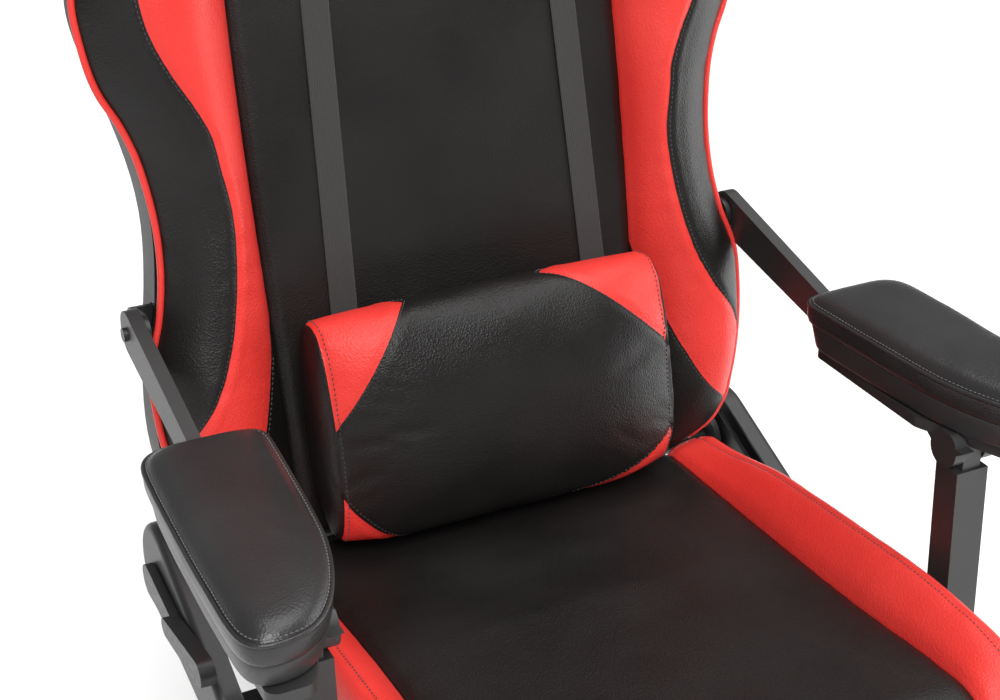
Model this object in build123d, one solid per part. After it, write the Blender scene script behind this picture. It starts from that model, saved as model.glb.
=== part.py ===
from build123d import *
import math
import os

# Racing-style swivel chair. Millimetres. Origin on the floor under the gas lift, +Z up,
# the sitter faces -Y, and +X is the sitter's left.

# ---- Driving dimensions -------------------------------------------------------------

# Where the front face of the back meets the top of the seat
JOIN_Y = 235.0
JOIN_Z = 455.0
SEAT_TILT = 3.6
BACK_LEAN = 12.84

# Seat cushion, measured from the join line, in the seat's own tilted frame
SEAT_HALF = 248.0
SEAT_DEPTH = 490.0
SEAT_THICK = 95.0
SEAT_PANEL_HALF = 198.0
SEAT_REAR_GAP = 6.0
SEAT_PAN_THICK = 12.0
SEAT_PAN_INSET = 8.0
WING_RISE = 24.0
WING_CREST = 26.0
SEAT_FRONT_FILLET = 30.0

# Backrest, measured up along the back (v) and forward of its centre panel (w)
BACK_BOTTOM = 10.0
HIP_HALF = 287.0
HIP_LEVEL = 150.0
WAIST_HALF = 266.0
WAIST_LEVEL = 308.0
SHOULDER_HALF = 300.0
SHOULDER_LEVEL = 500.0
NECK_HALF = 186.0
NECK_LEVEL = 645.0
HEAD_HALF = 166.0
BACK_TOP = 830.0
BACK_PANEL_HALF = 177.0
PANEL_THICK = 35.0
BOLSTER_RISE = 42.0
BOLSTER_FILLET = 16.0
SHELL_DEPTH = 38.0
SHELL_WALL = 4.0
BACK_TUBE_R = 10.0
BACK_TUBE_X = 185.0
BACK_TUBE_NECK_X = 50.0
BACK_TUBE_BEND = 510.0
BACK_TUBE_TOP = 770.0
BACK_TUBE_BEND_R = 28.0

# Belt slots near the top of the back, and the two webbing straps that pass through them
SLOT_X = 116.0
SLOT_LEVEL = 645.0
SLOT_WIDTH = 84.0
SLOT_HEIGHT = 44.0
SLOT_CORNER = 12.0
SLOT_TRIM_WALL = 4.0
SLOT_TRIM_FLANGE = 7.0
STRAP_WIDTH = 25.0
STRAP_THICK = 1.6
STRAP_SHIFT = 11.0
STRAP_HALF_LOW = 131.0
STRAP_HALF_HIGH = 111.0

# Pillows
LUMBAR_WIDTH = 330.0
LUMBAR_HEIGHT = 212.0
LUMBAR_DEPTH = 96.0
LUMBAR_BOTTOM = 3.0
LUMBAR_SHIFT = 8.0
LUMBAR_ROUND = 40.0
HEAD_PILLOW_WIDTH = 280.0
HEAD_PILLOW_HEIGHT = 145.0
HEAD_PILLOW_DEPTH = 70.0
HEAD_PILLOW_BOTTOM = 672.0
HEAD_PILLOW_ROUND = 32.0

# Recline axis, in the back's frame, and the hardware on it
RECLINE_V = -20.0
RECLINE_W = -50.0
RECLINE_HUB_R = 30.0
RECLINE_PIN_R = 8.0
SIDE_PLATE_THICK = 5.0
SIDE_PLATE_R = 36.0
SIDE_COVER_R = 50.0
SIDE_COVER_DEPTH = 20.0
SIDE_COVER_WALL = 3.0
LEVER_SHAFT_R = 6.0

# Armrests: a four-bar link of seat, back, arm and front post
ARM_PIVOT_V = 217.0
ARM_PIVOT_W = -12.0
POST_TOP_Y = -80.0
POST_TOP_Z = 602.0
POST_WIDTH = 32.0
POST_DEPTH = 27.0
TONGUE_WIDTH = 18.0
CHEEK_WIDTH = 12.0
CHEEK_R = 16.0
ARM_PIN_R = 6.0
ARM_BAR_WIDTH = 12.0
ARM_TRAY_THICK = 10.0
PAD_BOTTOM_Z = 617.0
PAD_TOP_Z = 671.0
PAD_WIDTH = 96.0
PAD_FRONT_Y = -166.0
PAD_REAR_Y = 104.0
PAD_CORNER = 18.0
PAD_TAPER_Y = -50.0
PAD_NOSE_WIDTH = 46.0
PAD_EDGE_R = 14.0
ARM_TRAY_INSET = 8.0
PAD_OUTSET = 13.0

# Tilt mechanism
PLATE_THICK = 4.0
PLATE_HALF = 66.0
HOUSING_HALF = 60.0
HOUSING_WALL = 3.0
HOUSING_Z0 = 300.0
HOUSING_FRONT_Y = -124.0
HOUSING_REAR_Y = 80.0
TILT_PIN_R = 6.0
TILT_Y = -98.0
TILT_DROP = 16.0
TILT_MAX = 10.0
TILT_ROOM = 2.0
SPRING_Y = -62.0
SPRING_R = 12.0
SPRING_WIRE_R = 2.5
SPRING_TURNS = 5
KNOB_R = 22.0
KNOB_HEIGHT = 34.0
KNOB_BOLT_R = 5.0
LEVER_R = 5.0
LEVER_REACH = 215.0
LEVER_PLAY = 0.6
LIFT_PIVOT_X = 48.0
LIFT_PIN_R = 2.5
LIFT_PIN_HALF = 9.0
LIFT_EAR_Y = 6.0
TILT_LEVER_Y = 30.0
PADDLE_LENGTH = 62.0
PADDLE_WIDTH = 26.0
PADDLE_THICK = 8.0

# Gas lift and its telescopic cover
COLUMN_R = 25.0
COLUMN_WALL = 2.0
COLUMN_TOP = 262.0
INNER_R = 14.0
INNER_WALL = 2.0
INNER_BOTTOM = 125.0
INNER_TOP = 330.0
ROD_R = 5.0
PISTON_TOP = 222.0
BUTTON_R = 4.0
BUTTON_RISE = 5.0
COVER_WALL = 1.6
COVER_STEP = 2.4
COVER_TOP_R = 31.2
COVER_LENGTH = 75.0

# Star base and casters
LEG_COUNT = 5
CASTER_CIRCLE_R = 300.0
HUB_R = 42.0
HUB_Z0 = 74.0
HUB_TOP = 142.0
LEG_ROOT_WIDTH = 52.0
LEG_ROOT_HEIGHT = 50.0
LEG_TIP_WIDTH = 32.0
LEG_TIP_HEIGHT = 30.0
TIP_BOSS_R = 19.0
TIP_BOSS_HEIGHT = 34.0
STEM_R = 5.5
WHEEL_R = 30.0
WHEEL_WIDTH = 19.0
WHEEL_WEB = 8.0
CASTER_TRAIL = 18.0
CASTER_TOP = 72.0
AXLE_R = 4.0
HOOD_WALL = 3.3
CASTER_YAW = 20.0

# Clearances
RUNNING = 0.05
SKIN_GAP = 0.4
SIDE_GAP = 1.0
PLATE_GAP = 3.0

# ---- Frames and small helpers --------------------------------------------------------

LOW = (Align.CENTER, Align.CENTER, Align.MIN)
SEAT = Location((0, JOIN_Y, JOIN_Z), (-SEAT_TILT, 0, 0))
BACK = Location((0, JOIN_Y, JOIN_Z), (-BACK_LEAN, 0, 0))
FAR = 900.0


def back_yz(v, w):
    """World (y, z) of a place v up the back and w in front of its centre panel."""
    lean = math.radians(BACK_LEAN)
    y = JOIN_Y + v * math.sin(lean) - w * math.cos(lean)
    z = JOIN_Z + v * math.cos(lean) + w * math.sin(lean)
    return y, z


def seat_yz(y, z):
    """World (y, z) of a place in the seat's tilted frame."""
    tilt = math.radians(SEAT_TILT)
    return JOIN_Y + y * math.cos(tilt) + z * math.sin(tilt), JOIN_Z - y * math.sin(tilt) + z * math.cos(tilt)


def block(x0, x1, y0, y1, z0, z1):
    size = Box(x1 - x0, y1 - y0, z1 - z0)
    return Pos((x0 + x1) / 2, (y0 + y1) / 2, (z0 + z1) / 2) * size


def rod_x(x0, x1, y, z, radius):
    """A round bar along X from x0 to x1."""
    return Pos((x0 + x1) / 2, y, z) * Rot(0, 90, 0) * Cylinder(radius, abs(x1 - x0))


def rod_z(x, y, z0, z1, radius):
    return Pos(x, y, z0) * Cylinder(radius, z1 - z0, align=LOW)


def side_plate(points, x0, x1):
    """A flat plate between two X planes, from its outline in (y, z)."""
    outline = Plane.YZ * make_face(Polyline(*points, close=True))
    return Pos(x0, 0, 0) * extrude(outline, amount=x1 - x0)


def link_plate(first, second, first_r, second_r, x0, x1):
    """A flat plate with two round ends, each end given by its centre in (y, z)."""
    ends = Pos(*first) * CenterArc((0, 0), first_r, 0, 360) + Pos(*second) * CenterArc((0, 0), second_r, 0, 360)
    outline = Plane.YZ * make_hull(ends.edges())
    return Pos(x0, 0, 0) * extrude(outline, amount=x1 - x0)


def rounded_block(width, depth, height, radius):
    """A block whose four long edges along X are rounded, based at its lower face."""
    outline = Plane.YZ * RectangleRounded(depth, height, radius)
    return Pos(-width / 2, 0, height / 2) * extrude(outline, amount=width)


def both_sides(shape):
    return Compound([*shape.solids(), *mirror(shape, about=Plane.YZ).solids()])


# ---- Places worked out from the dimensions --------------------------------------------

RECLINE_Y, RECLINE_Z = back_yz(RECLINE_V, RECLINE_W)
ARM_Y, ARM_Z = back_yz(ARM_PIVOT_V, ARM_PIVOT_W)
# The post is parallel and equal to the line from the recline axis to the arm's rear pivot
POST_LOW_Y = POST_TOP_Y - (ARM_Y - RECLINE_Y)
POST_LOW_Z = POST_TOP_Z - (ARM_Z - RECLINE_Z)

SIDE_PLATE_X = HIP_HALF - 8.0
SIDE_COVER_X = SIDE_PLATE_X + SIDE_PLATE_THICK + SKIN_GAP
LEVER_X = SIDE_COVER_X + SIDE_COVER_DEPTH + SIDE_GAP
ARM_BAR_X = HIP_HALF + 5.0
POST_X = ARM_BAR_X - 2.0
PAD_X = POST_X + PAD_OUTSET
FRAME_W = RECLINE_W
SHELL_REAR = PANEL_THICK + SHELL_DEPTH
LUG_DEPTH = PANEL_THICK + 12.0
TILT_Z = seat_yz(TILT_Y - JOIN_Y, -SEAT_THICK - PLATE_THICK)[1] - TILT_DROP
PLATE_FRONT = HOUSING_FRONT_Y - JOIN_Y + 4.0
PLATE_REAR = HOUSING_REAR_Y - JOIN_Y + 30.0
LIFT_LEVER_Z = INNER_TOP + BUTTON_RISE + LEVER_PLAY + LEVER_R
TILT_LEVER_Z = INNER_TOP - 4.0


# ---- Base -----------------------------------------------------------------------------

def leg_angle(index):
    return -90.0 + index * 360.0 / LEG_COUNT


def tip_place(index):
    return Rot(0, 0, leg_angle(index)) * Pos(CASTER_CIRCLE_R, 0, 0)


def make_star_base():
    """Five tapered legs on a hub, with a bored boss at each tip."""
    root = Plane((HUB_R - 14, 0, HUB_TOP - LEG_ROOT_HEIGHT / 2 - 6), z_dir=(1, 0, 0), x_dir=(0, 1, 0))
    tip_mid = HUB_Z0 + TIP_BOSS_HEIGHT - LEG_TIP_HEIGHT / 2 - 2
    tip = Plane((CASTER_CIRCLE_R, 0, tip_mid), z_dir=(1, 0, 0), x_dir=(0, 1, 0))
    leg = loft([
        root * RectangleRounded(LEG_ROOT_WIDTH, LEG_ROOT_HEIGHT, 8),
        tip * RectangleRounded(LEG_TIP_WIDTH, LEG_TIP_HEIGHT, 8),
    ])
    base = rod_z(0, 0, HUB_Z0, HUB_TOP, HUB_R)
    for index in range(LEG_COUNT):
        base += Rot(0, 0, leg_angle(index)) * leg
        base += tip_place(index) * rod_z(0, 0, HUB_Z0, HUB_Z0 + TIP_BOSS_HEIGHT, TIP_BOSS_R)
    for index in range(LEG_COUNT):
        base -= tip_place(index) * rod_z(0, 0, HUB_Z0, HUB_Z0 + TIP_BOSS_HEIGHT - 8, STEM_R)
    return base - rod_z(0, 0, HUB_Z0, HUB_TOP, COLUMN_R)


def make_caster_stems():
    """The steel stems, held in the leg tips, that the casters turn on."""
    top = HUB_Z0 + TIP_BOSS_HEIGHT - 8
    stem = rod_z(0, 0, CASTER_TOP - 12, top, STEM_R)
    return Compound([s for i in range(LEG_COUNT) for s in (tip_place(i) * stem).solids()])


def caster_place(index):
    return tip_place(index) * Rot(0, 0, CASTER_YAW)


def rod_y(y0, y1, x, z, radius):
    return Pos(x, (y0 + y1) / 2, z) * Rot(90, 0, 0) * Cylinder(radius, y1 - y0)


def make_caster_housing():
    """Hood, centre web, stem socket and axle of one twin-wheel caster; its trail is along +X."""
    half = WHEEL_WEB / 2 + SIDE_GAP + WHEEL_WIDTH
    room = WHEEL_R + 1.7
    hood = rod_y(-half, half, CASTER_TRAIL, WHEEL_R, room + HOOD_WALL)
    web = rod_y(-WHEEL_WEB / 2, WHEEL_WEB / 2, CASTER_TRAIL, WHEEL_R, room)
    upper = block(-FAR, FAR, -FAR, FAR, WHEEL_R + 3, FAR)
    socket = rod_z(0, 0, CASTER_TOP - 26, CASTER_TOP, STEM_R + 5)
    inside = rod_y(-half, half, CASTER_TRAIL, WHEEL_R, room)
    body = (hood & upper) + socket - inside + (web & upper)
    body += rod_y(-WHEEL_WEB / 2, WHEEL_WEB / 2, CASTER_TRAIL, WHEEL_R, AXLE_R + 5)
    body += rod_y(-half + 2, half - 2, CASTER_TRAIL, WHEEL_R, AXLE_R)
    return body - rod_z(0, 0, CASTER_TOP - 12.5, CASTER_TOP, STEM_R + RUNNING)


def make_wheel(side):
    """One wheel of a twin-wheel caster, with a dished outer face."""
    inner = WHEEL_WEB / 2 + SIDE_GAP
    outer = inner + WHEEL_WIDTH
    wheel = rod_y(inner, outer, CASTER_TRAIL, WHEEL_R, WHEEL_R)
    wheel = fillet(wheel.edges(), 2.5)
    wheel -= rod_y(outer - 3, outer, CASTER_TRAIL, WHEEL_R, WHEEL_R - 8)
    wheel += rod_y(inner, outer - 0.5, CASTER_TRAIL, WHEEL_R, AXLE_R + 5)
    wheel -= rod_y(inner, outer, CASTER_TRAIL, WHEEL_R, AXLE_R + RUNNING)
    return wheel if side > 0 else mirror(wheel, about=Plane.XZ)


# ---- Gas lift --------------------------------------------------------------------------

def tube(z0, z1, outer, inner):
    return rod_z(0, 0, z0, z1, outer) - rod_z(0, 0, z0, z1, inner)


def make_column_tube():
    """The outer tube of the gas lift, closed at the bottom except for the rod's hole."""
    floor_top = HUB_Z0 + 3
    body = tube(HUB_Z0, COLUMN_TOP, COLUMN_R, COLUMN_R - COLUMN_WALL)
    floor = tube(HUB_Z0, floor_top, COLUMN_R - COLUMN_WALL, ROD_R + 1)
    return body + floor


def make_guide_bush():
    """The plastic bush that guides the inner cylinder at the top of the outer tube."""
    bush = tube(COLUMN_TOP - 60, COLUMN_TOP, COLUMN_R - COLUMN_WALL, INNER_R + RUNNING)
    return bush + tube(COLUMN_TOP, COLUMN_TOP + 3, COLUMN_R, INNER_R + RUNNING)


def make_thrust_bearing():
    """The bearing that the piston rod's collar turns on."""
    z = HUB_Z0 + 3
    return tube(z, z + 7, 13, ROD_R + 1)


def make_piston_rod():
    """Piston rod with its collar above the bearing, its clip groove and its piston head."""
    collar_z = HUB_Z0 + 10 + RUNNING
    rod = rod_z(0, 0, HUB_Z0 - 6, PISTON_TOP, ROD_R)
    collar = rod_z(0, 0, collar_z, collar_z + 3, 11)
    head = rod_z(0, 0, PISTON_TOP - 12, PISTON_TOP, INNER_R - INNER_WALL - RUNNING)
    groove = tube(HUB_Z0 - 3.5, HUB_Z0 - 2, ROD_R, ROD_R - 1)
    return rod + collar + head - groove


def make_rod_clip():
    """The spring clip under the outer tube that keeps the rod in."""
    return tube(HUB_Z0 - 3.5, HUB_Z0 - 2, 9, ROD_R - 1)


def make_inner_cylinder():
    """The pressure cylinder that rides on the piston, with its gland and valve end."""
    body = tube(INNER_BOTTOM, INNER_TOP, INNER_R, INNER_R - INNER_WALL)
    gland = tube(INNER_BOTTOM, INNER_BOTTOM + 15, INNER_R - INNER_WALL, ROD_R + RUNNING)
    valve = tube(INNER_TOP - 24, INNER_TOP, INNER_R - INNER_WALL, BUTTON_R + RUNNING)
    return body + gland + valve


def make_release_button():
    """The valve button on top of the inner cylinder."""
    return rod_z(0, 0, INNER_TOP - 12, INNER_TOP + BUTTON_RISE, BUTTON_R)


def cover_radius(step):
    """Outer radius of a cover stage, 0 for the top one and 2 for the bottom one."""
    return COVER_TOP_R + step * COVER_STEP


def make_cover(step, z0):
    outer = cover_radius(step)
    shell = tube(z0, z0 + COVER_LENGTH, outer, outer - COVER_WALL)
    if step == 2:
        shell += tube(z0, z0 + 5, HUB_R, COLUMN_R + 1)
    if step == 0:
        shell += tube(z0 + COVER_LENGTH - 2, z0 + COVER_LENGTH, outer, COLUMN_R + 3)
    return shell


# ---- Tilt mechanism --------------------------------------------------------------------

def plate_under_tilted(y):
    """Height of the seat plate's underside just past full tilt, for a place that is at y when level."""
    tilt = math.radians(TILT_MAX + TILT_ROOM)
    rise = seat_yz(y - JOIN_Y, -SEAT_THICK - PLATE_THICK)[1] - TILT_Z
    return TILT_Z + rise * math.cos(tilt) - (y - TILT_Y) * math.sin(tilt)


def make_mechanism_housing():
    """A stamped steel box, open at the top, with the taper socket for the gas lift."""
    front_top = plate_under_tilted(TILT_Y + 24) - 2 * SIDE_GAP
    rear_top = plate_under_tilted(HOUSING_REAR_Y) - 3 * SIDE_GAP
    points = [
        (HOUSING_FRONT_Y, HOUSING_Z0),
        (HOUSING_REAR_Y, HOUSING_Z0),
        (HOUSING_REAR_Y, rear_top),
        (TILT_Y + 24, front_top),
        (HOUSING_FRONT_Y, front_top),
    ]
    outer = side_plate(points, -HOUSING_HALF, HOUSING_HALF)
    wall = HOUSING_WALL
    room = block(-HOUSING_HALF + wall, HOUSING_HALF - wall, HOUSING_FRONT_Y + wall, HOUSING_REAR_Y - wall,
                 HOUSING_Z0 + wall, FAR)
    box = outer - room + rod_z(0, 0, HOUSING_Z0, INNER_TOP - 3, INNER_R + 7)
    box -= rod_z(0, 0, HOUSING_Z0, FAR, INNER_R)
    box -= rod_x(-FAR, FAR, TILT_Y, TILT_Z, TILT_PIN_R + RUNNING)
    for y0 in (-LIFT_EAR_Y - wall, LIFT_EAR_Y):
        box += block(-LIFT_PIVOT_X - 6, -LIFT_PIVOT_X + 6, y0, y0 + wall, HOUSING_Z0, LIFT_LEVER_Z + LEVER_R)
    box -= rod_y(-FAR, FAR, -LIFT_PIVOT_X, LIFT_LEVER_Z, LIFT_PIN_R + RUNNING) & room
    box -= rod_x(-FAR, -LIFT_PIVOT_X, 0, LIFT_LEVER_Z, LEVER_R + 2 * LEVER_PLAY)
    box -= rod_x(0, FAR, TILT_LEVER_Y, TILT_LEVER_Z, LEVER_R + RUNNING)
    return box - rod_z(0, SPRING_Y, HOUSING_Z0, HOUSING_Z0 + wall, KNOB_BOLT_R + RUNNING)


def make_tilt_pin():
    half = PLATE_HALF + SIDE_GAP
    return rod_x(-half, half, TILT_Y, TILT_Z, TILT_PIN_R)


def make_tension_knob():
    """The ribbed knob under the housing, with the bolt that sets the spring's seat."""
    top = HOUSING_Z0 - SIDE_GAP
    knob = rod_z(0, SPRING_Y, top - KNOB_HEIGHT, top - 4, KNOB_R)
    knob = fillet(knob.edges(), 3)
    for index in range(12):
        turn = Pos(0, SPRING_Y, 0) * Rot(0, 0, index * 30)
        knob -= turn * rod_z(KNOB_R + 2, 0, top - KNOB_HEIGHT, top - 4, 4)
    knob += rod_z(0, SPRING_Y, top - 4, top, KNOB_BOLT_R + 4)
    return knob + rod_z(0, SPRING_Y, top, spring_floor() + 18, KNOB_BOLT_R)


def spring_floor():
    return HOUSING_Z0 + HOUSING_WALL + SIDE_GAP


def spring_ceiling():
    plate = seat_yz(SPRING_Y - SPRING_R - SPRING_WIRE_R - JOIN_Y, -SEAT_THICK - PLATE_THICK)[1]
    drop = (SPRING_Y - TILT_Y + SPRING_R + SPRING_WIRE_R) * math.tan(math.radians(SEAT_TILT))
    return plate - drop - SIDE_GAP


def make_tension_spring():
    """The coil spring that pushes the seat plate up behind the tilt pin."""
    height = spring_ceiling() - spring_floor() - 2 * SPRING_WIRE_R
    path = Helix(pitch=height / SPRING_TURNS, height=height, radius=SPRING_R)
    start = Plane(origin=path @ 0, z_dir=path % 0)
    coil = sweep(start * Circle(SPRING_WIRE_R), path=path)
    return Pos(0, SPRING_Y, spring_floor() + SPRING_WIRE_R) * coil


def lever_paddle(x0, y, z):
    """The flat moulded end of a lever, from x0 outwards along +X."""
    half = PADDLE_WIDTH / 2
    paddle = block(x0, x0 + PADDLE_LENGTH, y - half, y + half, z - PADDLE_THICK / 2, z + PADDLE_THICK / 2)
    return fillet(paddle.edges().filter_by(Axis.Z), half - 2)


def make_lift_lever():
    """The height lever on the sitter's right, on a cross pin; its inner end is just over the valve button."""
    shaft = rod_x(-BUTTON_R - 2, LEVER_REACH, 0, LIFT_LEVER_Z, LEVER_R)
    shaft += rod_y(-LIFT_PIN_HALF, LIFT_PIN_HALF, LIFT_PIVOT_X, LIFT_LEVER_Z, LIFT_PIN_R)
    return mirror(shaft + lever_paddle(LEVER_REACH - 6, 0, LIFT_LEVER_Z), about=Plane.YZ)


def make_tilt_lever():
    """The pull-out tilt lock on the sitter's left, with its locking collar inside the housing."""
    shaft = rod_x(20, LEVER_REACH, TILT_LEVER_Y, TILT_LEVER_Z, LEVER_R)
    collar = rod_x(30, 44, TILT_LEVER_Y, TILT_LEVER_Z, LEVER_R + 2.5)
    return shaft + collar + lever_paddle(LEVER_REACH - 6, TILT_LEVER_Y, TILT_LEVER_Z)


# ---- Seat ------------------------------------------------------------------------------

def make_seat_plate():
    """The steel plate bolted under the seat pan, with the two ears on the tilt pin."""
    top = -SEAT_THICK
    plate = SEAT * block(-PLATE_HALF, PLATE_HALF, PLATE_FRONT, PLATE_REAR, top - PLATE_THICK, top)
    ear_x = HOUSING_HALF + SIDE_GAP
    under = seat_yz(TILT_Y - JOIN_Y, top - PLATE_THICK)[1]
    points = [
        (TILT_Y - 20, under + 2),
        (TILT_Y - 11, TILT_Z - 9),
        (TILT_Y + 11, TILT_Z - 9),
        (TILT_Y + 20, under + 0.5),
    ]
    ears = side_plate(points, ear_x, PLATE_HALF) + side_plate(points, -PLATE_HALF, -ear_x)
    plate += ears
    plate -= rod_x(-FAR, FAR, TILT_Y, TILT_Z, TILT_PIN_R)
    for x, y in bolt_places():
        plate -= SEAT * rod_z(x, y, top - PLATE_THICK, top, 4)
    return plate


def bolt_places():
    y0 = PLATE_FRONT + 12
    y1 = PLATE_REAR - 12
    return [(x, y) for x in (-PLATE_HALF + 14, PLATE_HALF - 14) for y in (y0, y1)]


def make_seat_bolts():
    """Four bolts that hold the seat plate to the pan."""
    under = -SEAT_THICK - PLATE_THICK
    bolts = []
    for x, y in bolt_places():
        bolt = rod_z(x, y, under, -SEAT_THICK + 8, 4) + rod_z(x, y, under - 3.5, under, 7)
        bolts += (SEAT * bolt).solids()
    return Compound(bolts)


def make_seat_pan():
    """The plywood pan that carries the cushion."""
    half = SEAT_HALF - SEAT_PAN_INSET
    pan = block(-half, half, -SEAT_DEPTH + SEAT_PAN_INSET, -SEAT_REAR_GAP, -SEAT_THICK,
                -SEAT_THICK + SEAT_PAN_THICK)
    for x, y in bolt_places():
        pan -= rod_z(x, y, -SEAT_THICK, -SEAT_THICK + 8, 4)
    return SEAT * pan


def make_seat_cushion():
    """The centre panel of the seat, over the pan."""
    bottom = -SEAT_THICK + SEAT_PAN_THICK
    pad = block(-SEAT_PANEL_HALF, SEAT_PANEL_HALF, -SEAT_DEPTH, -SEAT_REAR_GAP, bottom, 0)
    front_top = pad.edges().filter_by(Axis.X).group_by(Axis.Y)[0].sort_by(Axis.Z)[-1]
    return SEAT * fillet(front_top, SEAT_FRONT_FILLET)


def make_seat_wing():
    """The raised side wing of the seat, low at the rear where the back comes down to it."""
    bottom = -SEAT_THICK + SEAT_PAN_THICK
    inner = SEAT_PANEL_HALF + SKIN_GAP
    section = [
        (inner, bottom),
        (SEAT_HALF, bottom),
        (SEAT_HALF, WING_RISE - 14),
        (SEAT_HALF - 10, WING_RISE),
        (inner + WING_CREST, WING_RISE),
        (inner, 0),
    ]
    across = extrude(Plane.XZ * make_face(Polyline(*section, close=True)), amount=FAR, both=True)
    profile = [
        (-SEAT_DEPTH, bottom),
        (-SEAT_REAR_GAP, bottom),
        (-SEAT_REAR_GAP, 0),
        (-60, 4),
        (-130, WING_RISE),
        (-SEAT_DEPTH + 90, WING_RISE),
        (-SEAT_DEPTH + 22, 0),
        (-SEAT_DEPTH, -26),
    ]
    return SEAT * (across & side_plate(profile, 0, FAR))


def make_post_brackets():
    """Steel brackets under the pan that carry the lower pins of the armrest posts."""
    under = seat_yz(POST_LOW_Y - JOIN_Y, -SEAT_THICK)[1]
    ear_x = POST_X - POST_WIDTH / 2 - SIDE_GAP - SIDE_PLATE_THICK
    strap = SEAT * block(110, ear_x + SIDE_PLATE_THICK, POST_LOW_Y - JOIN_Y - 32, POST_LOW_Y - JOIN_Y + 32,
                         -SEAT_THICK - SIDE_PLATE_THICK, -SEAT_THICK)
    points = [
        (POST_LOW_Y - 30, under - 3.5),
        (POST_LOW_Y - 15, POST_LOW_Z - 15),
        (POST_LOW_Y + 15, POST_LOW_Z - 15),
        (POST_LOW_Y + 30, under - 3.5),
    ]
    bracket = strap + side_plate(points, ear_x, ear_x + SIDE_PLATE_THICK)
    pin_end = POST_X + POST_WIDTH / 2 + 4
    bracket += rod_x(ear_x, pin_end, POST_LOW_Y, POST_LOW_Z, ARM_PIN_R)
    return both_sides(bracket)


def make_recliner_plates():
    """Seat-side plates, from under the pan up to the recline axis."""
    x0 = SIDE_PLATE_X
    x1 = x0 + SIDE_PLATE_THICK
    foot_y = -95.0
    foot = SEAT * block(150, x1, foot_y - 30, foot_y + 30, -SEAT_THICK - SIDE_PLATE_THICK, -SEAT_THICK)
    low = seat_yz(foot_y, -SEAT_THICK + 8)
    plate = link_plate((RECLINE_Y, RECLINE_Z), low, SIDE_PLATE_R, 22, x0, x1)
    joined = foot + plate
    joined -= rod_x(x0, x1, RECLINE_Y, RECLINE_Z, RECLINE_PIN_R + RUNNING)
    return both_sides(joined)


def make_side_covers():
    """The plastic shells over the recliner plates."""
    x0 = SIDE_COVER_X
    x1 = x0 + SIDE_COVER_DEPTH
    low = seat_yz(-95.0, -SEAT_THICK + 14)
    shell = link_plate((RECLINE_Y, RECLINE_Z), low, SIDE_COVER_R, 34, x0, x1)
    shell = fillet(shell.faces().sort_by(Axis.X)[-1].edges(), 7)
    wall = SIDE_COVER_WALL
    shell -= link_plate((RECLINE_Y, RECLINE_Z), low, SIDE_COVER_R - wall, 34 - wall, x0, x1 - wall)
    shell -= rod_x(x0, x1, RECLINE_Y, RECLINE_Z, LEVER_SHAFT_R + SKIN_GAP)
    return both_sides(shell)


def make_recline_lever():
    """The recline lever on the sitter's right, resting forward along the seat."""
    shaft = rod_x(SIDE_COVER_X, LEVER_X, RECLINE_Y, RECLINE_Z, LEVER_SHAFT_R)
    arm_end = (RECLINE_Y - 70, RECLINE_Z - 4)
    grip_end = (RECLINE_Y - 165, RECLINE_Z + 12)
    arm = link_plate((RECLINE_Y, RECLINE_Z), arm_end, 15, 9, LEVER_X, LEVER_X + 8)
    grip = link_plate(arm_end, grip_end, 9, 12, LEVER_X, LEVER_X + 14)
    return mirror(shaft + arm + grip, about=Plane.YZ)


# ---- Back ------------------------------------------------------------------------------

def back_half_outline():
    """Outline of the right half of the back, as (x, v) points from bottom to top."""
    return [
        (HIP_HALF - 52, BACK_BOTTOM),
        (HIP_HALF - 14, BACK_BOTTOM + 34),
        (HIP_HALF, HIP_LEVEL),
        (WAIST_HALF, WAIST_LEVEL),
        (SHOULDER_HALF - 14, SHOULDER_LEVEL - 84),
        (SHOULDER_HALF, SHOULDER_LEVEL),
        (SHOULDER_HALF - 40, SHOULDER_LEVEL + 70),
        (NECK_HALF, NECK_LEVEL),
        (HEAD_HALF + 2, NECK_LEVEL + 80),
        (HEAD_HALF - 14, BACK_TOP - 34),
        (HEAD_HALF - 56, BACK_TOP),
    ]


def back_blank(inset, w0, w1):
    """The whole outline of the back as a solid between two planes w0 and w1."""
    points = [(x - inset, v) for x, v in back_half_outline()]
    right = Spline(*points)
    left = Spline(*[(-x, v) for x, v in points])
    top = Line(points[-1], (-points[-1][0], points[-1][1]))
    bottom = Line(points[0], (-points[0][0], points[0][1]))
    face = Plane.XZ * make_face([right, top, left, bottom])
    return Pos(0, -w0, 0) * extrude(face, amount=w1 - w0)


def slot_cutter(grow):
    """Both belt slots as through-going solids, grown by an amount all round."""
    face = Plane.XZ * RectangleRounded(SLOT_WIDTH + 2 * grow, SLOT_HEIGHT + 2 * grow, SLOT_CORNER + grow)
    cutter = extrude(face, amount=FAR, both=True)
    return Pos(SLOT_X, 0, SLOT_LEVEL) * cutter + Pos(-SLOT_X, 0, SLOT_LEVEL) * cutter


def make_back_cushion():
    """The flat centre panel of the back, pierced by the belt slots."""
    blank = back_blank(0, -PANEL_THICK, 0)
    middle = block(-BACK_PANEL_HALF + SKIN_GAP, BACK_PANEL_HALF - SKIN_GAP, -FAR, FAR, -FAR, FAR)
    return BACK * ((blank & middle) - slot_cutter(SLOT_TRIM_WALL))


def make_bolster(side):
    """One side bolster of the back, from hip to shoulder, standing proud of the centre panel."""
    blank = back_blank(0, -PANEL_THICK, BOLSTER_RISE)
    part = blank & block(BACK_PANEL_HALF, FAR, -FAR, FAR, -FAR, FAR)
    rim = part.faces().filter_by(Axis.Y).sort_by(Axis.Y)[0].edges()
    part = fillet(rim, BOLSTER_FILLET)
    return BACK * (part if side > 0 else mirror(part, about=Plane.YZ))


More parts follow.
